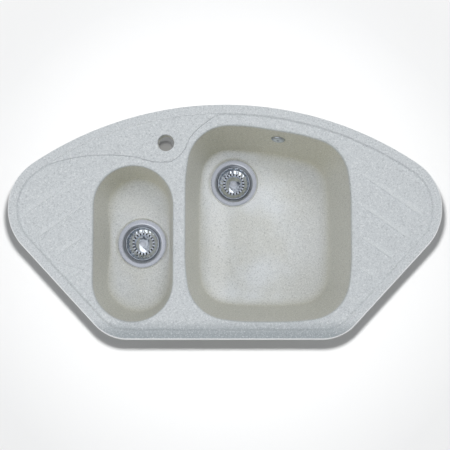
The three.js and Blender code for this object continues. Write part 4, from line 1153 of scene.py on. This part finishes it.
clamp_head = 6.5
clamp_head_top = cup_floor + clearance + 4.0
stopper_radius = 28.0
stopper_recess = clamp_head + 1.0
stopper_hub = stopper_recess + 2.0
stem_hole = 3.4
hub_ceiling = clamp_head_top + clearance
stopper_under = cup_floor + clearance
stopper_top = stopper_under + stopper_thickness
stopper_profile = filleted(
    [
        (stopper_recess, (stopper_under + hub_ceiling) / 2, 0),
        (stopper_recess, stopper_under, 0.4),
        (stopper_radius, stopper_under, 1.0),
        (stopper_radius, stopper_top, 1.0),
        (stopper_hub, stopper_top, 0.5),
        (stopper_hub, hub_ceiling + 2.0, 0.4),
        (stem_hole, hub_ceiling + 2.0, 0.3),
        (stem_hole, hub_ceiling, 0.3),
        (stopper_recess, hub_ceiling, 0.3),
        (stopper_recess, (stopper_under + hub_ceiling) / 2, 0),
    ]
)
for bowl, waste in wastes.items():
    stopper = new_piece(f"{bowl}_stopper", [moved(turned(stopper_profile, fine_sides), waste)])
    finished(stopper, rubber, f"{bowl}_strainer", [f"{bowl}_basket_stopper"])

# ------------------------------------------------------------------ waste bodies
# Below each bowl: a white polypropylene body with a flange, a drum, a cone and an outlet with a
# moulded thread for the trap. A bush on three webs takes the zinc-plated centre screw, which clamps
# the flange, the bowl and the body together. The large bowl's body has a socket for the overflow.

body_wall = 2.5
body_bore = cup_top + sheet_thickness + 1.0
body_drum = body_bore + body_wall
body_flange = 55.0
gasket_thickness = 2.5
body_flange_thickness = 5.0
drum_height = 26.0
cone_height = 17.0
body_height = 75.0
body_top = -bowl_wall - 2 * clearance - gasket_thickness
body_flange_under = body_top - body_flange_thickness
cone_top = body_flange_under - drum_height
cone_foot = cone_top - cone_height
body_bottom = body_top - body_height
outlet_radius = 23.9
outlet_bore = 19.5
bush_radius = 8.0
bush_top = cup_floor - sheet_thickness - clearance
web_thickness = 3.0
webs = 3
thread_top = cone_foot - body_wall - 3.0
thread_pitch = 3.0
thread_depth = 1.1
pipe_radius = 10.0
pipe_bore = 8.2
socket_wall = 2.2
socket_bore = 10.8
socket_radius = socket_bore + socket_wall
socket_stop = 2.0
socket_depth = 16.0
nut_wall = 3.3


def screw_thread(least, bottom, top, pitch, depth):
    """Swell of a thread on what lies outside a least radius: -depth times half a cosine of z / pitch
    turns less the angle, drawn out to nothing above and below."""

    def swell(radius, height, angle):
        """Depth of the groove at a point."""
        ends = np.clip(np.minimum(height - bottom, top - height) / pitch, 0, 1)
        groove = 0.5 - 0.5 * np.cos(2 * np.pi * height / pitch - angle)
        return -depth * ends * groove * (radius > least)

    return swell


def finely(profile, bottom, top, step):
    """A profile with extra points along its upright run between two heights."""
    profile = np.asarray(profile, dtype=float)
    rows = []
    for (r0, z0), (r1, z1) in zip(profile[:-1], profile[1:]):
        count = 1
        if abs(r1 - r0) < 1e-6 and min(z0, z1) < bottom + step and max(z0, z1) > top - step:
            count = int(abs(z1 - z0) / step)
        share = np.arange(count)[:, None] / count
        rows.append(np.array([r0, z0]) + share * np.array([r1 - r0, z1 - z0]))
    return np.vstack([*rows, profile[-1:]])


body_profile = filleted(
    [
        (body_bore, (body_top + cone_top) / 2, 0),
        (body_bore, cone_top, 4.0),
        (outlet_bore, cone_foot, 4.0),
        (outlet_bore, body_bottom, 0.5),
        (outlet_radius, body_bottom, 0.5),
        (outlet_radius, cone_foot - body_wall, 2.0),
        (body_drum, cone_top - body_wall, 5.0),
        (body_drum, body_flange_under, 1.5),
        (body_flange, body_flange_under, 0.8),
        (body_flange, body_top, 0.8),
        (body_bore, body_top, 0.4),
        (body_bore, (body_top + cone_top) / 2, 0),
    ]
)
body_profile = finely(body_profile, body_bottom + 2, thread_top - 2, thread_pitch / 8)
outlet_thread = screw_thread(outlet_bore + 1, body_bottom + 1, thread_top, thread_pitch, thread_depth)


def along(direction, place=(0, 0, 0)):
    """Matrix that lays the z axis along a level direction and x upright, from a place."""
    matrix = np.eye(4)
    matrix[:3, 2] = [*direction, 0]
    matrix[:3, 0] = [0, 0, 1]
    matrix[:3, 1] = np.cross(matrix[:3, 2], matrix[:3, 0])
    matrix[:3, 3] = place
    return matrix


elbow_face = pad_face + seal_thickness + 2 * clearance
elbow_end = elbow_face + 30.0
bend = set_in((np.array([[0, 0, elbow_end - socket_radius]]), None), overflow)[0][0]
inlet_z = body_flange_under - 1.0 - (socket_radius + clearance + nut_wall)
run = bend[:2] - wastes["main"][:2]
run_length = np.hypot(*run)
inlet = run / run_length
body_mouth = body_drum + socket_stop + socket_depth
white_plastic = plastic("white_plastic", (0.72, 0.72, 0.69), 0.45)
plated = steel("zinc_plated_steel", (0.66, 0.66, 0.64), 0.32, (0, 0), 0.1)
web_outline = [
    (bush_radius / 2, cone_foot),
    (outlet_bore + 1, cone_foot),
    (body_bore + 1, cone_top),
    (body_bore + 1, cone_top + 1),
    (bush_radius / 2, cone_top + 1),
]
upended = np.array([[1, 0, 0, 0], [0, 0, -1, 0], [0, 1, 0, 0], [0, 0, 0, 1.0]])
web = set_in(bar(np.array(web_outline), -web_thickness / 2, web_thickness / 2), upended)
threaded = turned(body_profile, fine_sides, swell=outlet_thread)
bush = rod(bush_radius, cone_foot, bush_top)
for bowl, waste in wastes.items():
    body = new_piece(f"{bowl}_body", [moved(threaded, waste)])
    for solid in [*holes_round(web, webs, 0.0), bush]:
        joined(body, [moved(solid, waste)], "UNION")
    joined(body, [moved(rod(screw_bore, cone_foot - 1, bush_top + 1, 32), waste)], "DIFFERENCE")
    if bowl == "main":
        level = along(inlet, waste + [0, 0, inlet_z])
        joined(body, [set_in(rod(socket_radius, body_bore + 1, body_mouth), level)], "UNION")
        socket_cut = rod(socket_bore, body_drum + socket_stop, body_mouth + 1)
        joined(body, [set_in(socket_cut, level)], "DIFFERENCE")
        passage = rod(pipe_bore, body_bore - 2, body_drum + socket_stop + 1)
        joined(body, [set_in(passage, level)], "DIFFERENCE")
    finished(body, white_plastic, "sink", [f"{bowl}_waste_body"], sharp=30.0)

clamp_shank = 3.0
clamp_length = 20.0
clamp_head_foot = cup_floor + clearance
stem_rest = clamp_head_top - 2.0 - clearance
clamp_profile = filleted(
    [
        (0, clamp_head_foot - clamp_length, 0),
        (clamp_shank, clamp_head_foot - clamp_length, 0.4),
        (clamp_shank, clamp_head_foot, 0.2),
        (clamp_head, clamp_head_foot, 0.2),
        (clamp_head, clamp_head_top, 0.8),
        (stem_hole, clamp_head_top, 0.2),
        (stem_hole, stem_rest, 0),
        (0, stem_rest, 0),
    ]
)
for bowl, waste in wastes.items():
    clamp = new_piece(f"{bowl}_screw", [moved(turned(clamp_profile, 48), waste)])
    finished(clamp, plated, "sink", [f"{bowl}_waste_screw"])

# ------------------------------------------------------------------ overflow pipework
# White polypropylene: an elbow drawn against the outside of the bowl's wall by the rosette's screw, a
# rigid pipe that runs down and in to the waste body, and a ribbed slip nut on each of its ends.

spigot_radius = overflow_hole - clearance
nut_bore = socket_radius + clearance
nut_radius = nut_bore + nut_wall
nut_ribs = 24
nut_grip = 0.4
nut_lip = 2.0
nut_back = 10.0
bend_radius = 30.0
mouth_z = bend[2] - socket_radius - socket_depth
bend_at = elbow_end - socket_radius
chamber_bore_end = bend_at + 7.5
post_radius = 5.0
post_bore = 2.9
post_end = elbow_end - 2.0
collar_top = elbow_face + 4.0
dome = np.linspace(0, np.pi / 2, 16)
chamber = np.vstack(
    [
        [(0, elbow_face), (socket_radius, elbow_face)],
        np.column_stack([socket_radius * np.cos(dome), bend_at + socket_radius * np.sin(dome)]),
    ]
)
collar = filleted(
    [
        (0, elbow_face, 0),
        (elbow_flange, elbow_face, 0.6),
        (elbow_flange, collar_top, 1.0),
        (0, collar_top, 0),
    ]
)


def below_bend(radius, bottom, top):
    """An upright rod on the axis of the elbow's socket."""
    return moved(rod(radius, bottom, top), (bend[0], bend[1], 0))


elbow = new_piece("elbow", [set_in(turned(chamber), overflow)])
for solid in (turned(collar), rod(spigot_radius, 1, elbow_face + 1)):
    joined(elbow, [set_in(solid, overflow)], "UNION")
joined(elbow, [below_bend(socket_radius, mouth_z, bend[2])], "UNION")
joined(elbow, [set_in(rod(spigot_radius - socket_wall, -1, chamber_bore_end), overflow)], "DIFFERENCE")
joined(elbow, [below_bend(pipe_bore, mouth_z + socket_depth - 1, bend[2])], "DIFFERENCE")
joined(elbow, [below_bend(socket_bore, mouth_z - 1, mouth_z + socket_depth)], "DIFFERENCE")
joined(elbow, [set_in(rod(post_radius, bowl_wall, post_end, 32), overflow)], "UNION")
joined(elbow, [set_in(rod(post_bore, 0, screw_tip + 1, 32), overflow)], "DIFFERENCE")
finished(elbow, white_plastic, "sink", ["overflow_elbow"], sharp=30.0)


main_low = wastes["main"][2] + inlet_z


def pipe_rings(radius):
    """Rings round the pipe's middle line: straight down, a quarter bend of bend_radius, and straight
    in to the waste. Each is middle + radius (cos a across, sin a sideways)."""
    low = main_low + bend_radius
    top = bend[2] - socket_radius - clearance
    end = run_length - body_drum - socket_stop - clearance
    turn = np.linspace(0, np.pi / 2, 19)
    reach = np.concatenate([[0], bend_radius * (1 - np.cos(turn)), [end]])
    height = np.concatenate([[top], low - bend_radius * np.sin(turn), [main_low]])
    tilt = np.concatenate([[0], turn, [np.pi / 2]])
    angle = np.linspace(0, 2 * np.pi, 48, endpoint=False)[None]
    outward = reach[:, None] + radius * np.cos(angle) * np.cos(tilt)[:, None]
    up = height[:, None] + radius * np.cos(angle) * np.sin(tilt)[:, None]
    side = radius * np.sin(angle) + 0 * outward
    x = bend[0] - outward * inlet[0] + side * inlet[1]
    y = bend[1] - outward * inlet[1] - side * inlet[0]
    return np.stack([x, y, up], axis=-1)


pipe_skin = np.concatenate([pipe_rings(pipe_radius), pipe_rings(pipe_bore)[::-1]])
pipe = new_piece("pipe", [lofted(pipe_skin, closed=True)])
finished(pipe, white_plastic, "sink", ["overflow_pipe"])


def ribs(radius, height, angle):
    """Grip ribs of a slip nut: grip times cos(24 a) on its outside."""
    return nut_grip * np.cos(nut_ribs * angle) * (radius > nut_radius - 0.5)


nut_profile = filleted(
    [
        (nut_bore, nut_back / 2, 0),
        (nut_bore, -clearance, 0),
        (socket_bore, -clearance, 0.3),
        (socket_bore, -nut_lip - clearance, 0.3),
        (nut_radius, -nut_lip - clearance, 1.0),
        (nut_radius, nut_back, 1.0),
        (nut_bore, nut_back, 0.3),
        (nut_bore, nut_back / 2, 0),
    ]
)
nut = turned(nut_profile, 8 * nut_ribs, swell=ribs)
upper_nut = new_piece("upper_nut", [moved(nut, (bend[0], bend[1], mouth_z))])
finished(upper_nut, white_plastic, "sink", ["overflow_upper_nut"])
mouth = (*(wastes["main"][:2] + inlet * body_mouth), main_low)
lower_nut = new_piece("lower_nut", [set_in(nut, along(-inlet, mouth))])
finished(lower_nut, white_plastic, "sink", ["overflow_lower_nut"])

# ------------------------------------------------------------------ worktop clips
# Eight grey nylon claws, each on a zinc-plated screw that is turned up into a boss under the rim. The
# claw swings out under the worktop and its tooth bites from below.

worktop = 38.0
claw_top = -worktop - clearance
arm_top = claw_top - 3.0
arm_bottom = arm_top - 7.0
claw_reach = 24.0
heel_radius = 7.0
tip_corner = 1.5
tip_half = 4.5
claw_edge = 0.7
claw_bore = 3.0
tooth_length = 5.0
tooth_width = 6.0
tip = np.array([claw_reach - tip_corner, tip_half - tip_corner])
side_turn = np.arctan2(tip[1], tip[0]) + np.arccos((heel_radius - tip_corner) / np.hypot(*tip))
claw_shape = outline_of(
    [
        (np.zeros(2), heel_radius, side_turn, 2 * np.pi - side_turn),
        (tip * [1, -1], tip_corner, -side_turn, 0.0),
        (tip, tip_corner, 0.0, side_turn),
    ],
    spacing=0.8,
)
claw_profile = filleted(
    [
        (2 * claw_edge, arm_bottom, 0),
        (0, arm_bottom, claw_edge),
        (0, arm_top, claw_edge),
        (2 * claw_edge, arm_top, 0),
    ],
    steps=4,
)
claw_rings = [ring(claw_shape, inset, z) for inset, z in claw_profile]
lid, base = (np.repeat(claw_rings[k].mean(axis=0)[None], len(claw_shape[0]), axis=0) for k in (0, -1))
arm = lofted([lid, *claw_rings, base])
tooth_outline = bar_outline(tooth_length, tooth_width) + [claw_reach - tooth_length / 2, 0]
tooth = bar(tooth_outline, arm_top - 1, claw_top)
clip_head = 4.6
clip_head_top = arm_bottom - clearance
clip_head_foot = clip_head_top - 4.0
clip_shank = 2.5
clip_tip = clip_boss_bottom + 9.0
clip_pitch = 1.25
clip_thread_depth = 0.35
clip_hexagon = 2.4
clip_hexagon_end = clip_head_top - 1.8
clip_screw_profile = filleted(
    [
        (0, clip_head_foot, 0),
        (clip_head, clip_head_foot, 0.9),
        (clip_head, clip_head_top, 0.4),
        (clip_shank, clip_head_top, 0.2),
        (clip_shank, clip_tip, 0.4),
        (0, clip_tip, 0),
    ],
    steps=4,
)
clip_screw_profile = finely(clip_screw_profile, arm_bottom + 1, clip_tip - 1, clip_pitch / 6)
clip_thread = screw_thread(clip_shank - 0.2, arm_bottom + 1, clip_tip - 0.5, clip_pitch, clip_thread_depth)
clip_screw = turned(clip_screw_profile, 24, swell=clip_thread)
hexagon = rod(clip_hexagon, clip_head_foot - 1.7, clip_hexagon_end, 6)
grey_nylon = plastic("grey_nylon", (0.13, 0.135, 0.14), 0.5)
for k, place in enumerate(clips, start=1):
    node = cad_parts[f"clip_claw_{k:02d}"]
    corners = np.array([corner.co for corner in node.data.vertices])[:, :2] / mm - place[:2]
    far = corners[np.hypot(*corners.T) > claw_reach]
    turn = np.eye(4)
    across = far.mean(axis=0) / np.hypot(*far.mean(axis=0))
    turn[:2, 0], turn[:2, 1] = across, [-across[1], across[0]]
    turn[:2, 3] = place[:2]
    claw = new_piece(f"claw_{k:02d}", [set_in(arm, turn)])
    joined(claw, [set_in(tooth, turn)], "UNION")
    joined(claw, [moved(rod(claw_bore, arm_bottom - 1, claw_top + 1, 32), place)], "DIFFERENCE")
    finished(claw, grey_nylon, f"claw_{k:02d}", [f"clip_claw_{k:02d}"])
    screw = new_piece(f"clip_{k:02d}", [moved(clip_screw, place)])
    joined(screw, [moved(hexagon, place)], "DIFFERENCE")
    finished(screw, plated, "sink", [f"clip_screw_{k:02d}"])

# ------------------------------------------------------------------ floor, lamps and camera
# A plain pale floor below the sink with a lamp of its own, which draws the sink's shadow round its
# outline. Soft lamps light the sink: the key from behind, one overhead and a broad one at the front
# left that glints in the steel. The camera stands above the middle, tipped back by three degrees.

floor_z = cad_box[0][2]
bpy.ops.mesh.primitive_plane_add(size=8, location=(0, 0, floor_z))
floor = bpy.context.object
floor.name = "floor"


def seen(start, light_path=("Is Camera Ray", "Is Glossy Ray", "Is Transmission Ray")):
    """1 for the rays that show a background, straight or mirrored, and 0 for those that light."""
    return sum(start.node("ShaderNodeLightPath", output=name) for name in light_path)


tap_top = Vector((tap[0] * mm, tap[1] * mm, 0))
lamp_place = Vector((0, 0.27, 1.26))
spot = tap_top + (tap_top - lamp_place) * (-floor_z / lamp_place.z)
spot = (spot.x, spot.y, 0)


def floor_paint():
    """Pale floor that keeps the shadow below the sink, with painted shade where the lamp reaches it
    through the tap hole, and turns plain white farther out."""
    material, start = new_material("pale_floor")
    place = position(start)
    away = start.node("ShaderNodeVectorMath", {0: place, 1: (0, 0.2, 0)}, operation="SUBTRACT")
    below_tap = start.node("ShaderNodeVectorMath", {0: place, 1: spot}, operation="SUBTRACT")
    beside = size_of(below_tap)
    # painted shade on the floor where the floor lamp shines through the tap hole
    shade = mixed(between(beside, 0.014, 0.022), (0.18, 0.18, 0.175), (0.23, 0.23, 0.23))
    tone = mixed(between(beside, 0.022, 0.027), shade, (0.72, 0.72, 0.72))
    paint = start.node("ShaderNodeBsdfPrincipled", {"Base Color": tone, "Roughness": 0.9})
    white = start.node("ShaderNodeEmission", {"Color": (1, 1, 1, 1), "Strength": 1.0})
    far = between(size_of(away), 0.70, 1.05) * seen(start)
    both = start.node("ShaderNodeMixShader", {0: far, 1: paint, 2: white})
    start.node("ShaderNodeOutputMaterial", {"Surface": both})
    return material


floor.data.materials.append(floor_paint())

world = bpy.data.worlds.new("studio")
world.use_nodes = True
bpy.context.scene.world = world
world.node_tree.nodes.clear()
sky = Socket(world.node_tree)
direction = sky.node("ShaderNodeTexCoord", output="Generated")
up = part(direction, "Z")
# the steel mirrors a dim room with patches, a pale ceiling right above and a white horizon
patches = between(noise(direction, 5.0, detail=1.0), 0.44, 0.56)
room = mixed(patches, (0.07, 0.078, 0.09), (0.52, 0.54, 0.57))
room = mixed(seen(sky, ("Is Glossy Ray",)), (0.27, 0.283, 0.305), room)
room = mixed(between(up, 0.90, 0.97), room, (0.62, 0.635, 0.665))
room = mixed(between(up, 0.30, 0.10), room, (1.0, 1.0, 1.0))
ambient = (0.37, 0.38, 0.39)
light = sky.node("ShaderNodeBackground", {"Color": mixed(seen(sky), ambient, room)})
sky.node("ShaderNodeOutputWorld", {"Surface": light})


def receivers(name, state):
    """A set for lamps that leaves the floor out (EXCLUDE) or holds nothing else (INCLUDE)."""
    group = bpy.data.collections.new(name)
    group.objects.link(floor)
    group.collection_objects[0].light_linking.link_state = state
    return group


def lamp(name, place, aim, width, depth, level, lit, glints=True):
    """A flat lamp in a place, aimed at a point. Its power gives the level there that shows a facing
    colour as it is written: level * (pi * distance) squared."""
    place, aim = Vector(place), Vector(aim)
    data = bpy.data.lights.new(name, "AREA")
    data.shape = "RECTANGLE"
    data.size, data.size_y = width, depth
    data.energy = level * (np.pi * (place - aim).length) ** 2
    item = bpy.data.objects.new(name, data)
    item.location = place
    item.rotation_euler = (place - aim).to_track_quat("Z", "Y").to_euler()
    item.light_linking.receiver_collection = lit
    item.visible_glossy = glints
    item.visible_camera = False
    bpy.context.scene.collection.objects.link(item)


sink_alone = receivers("sink_alone", "EXCLUDE")
floor_alone = receivers("floor_alone", "INCLUDE")
middle = (0, 0.25, 0)
lamp("key", (0.65, 1.20, 2.2), middle, 0.8, 0.8, 0.36, sink_alone, glints=False)
lamp("overhead", (0, 0.45, 2.6), middle, 1.3, 1.3, 0.15, sink_alone, glints=False)
lamp("glint", (-0.95, -0.55, 1.42), middle, 2.6, 0.95, 0.27, sink_alone)
lamp("floor_lamp", lamp_place, (0, 0.27, floor_z), 0.05, 0.05, 1.30, floor_alone, glints=False)

camera = bpy.data.objects.new("camera", bpy.data.cameras.new("camera"))
camera.location = (0, 0.1647, 1.380)
camera.rotation_euler = (np.radians(3.08), 0, 0)
camera.data.lens = 50.56
camera.data.sensor_width = 36
camera.data.sensor_fit = "HORIZONTAL"
bpy.context.scene.collection.objects.link(camera)
bpy.context.scene.camera = camera
bpy.context.scene.view_settings.view_transform = "Standard"
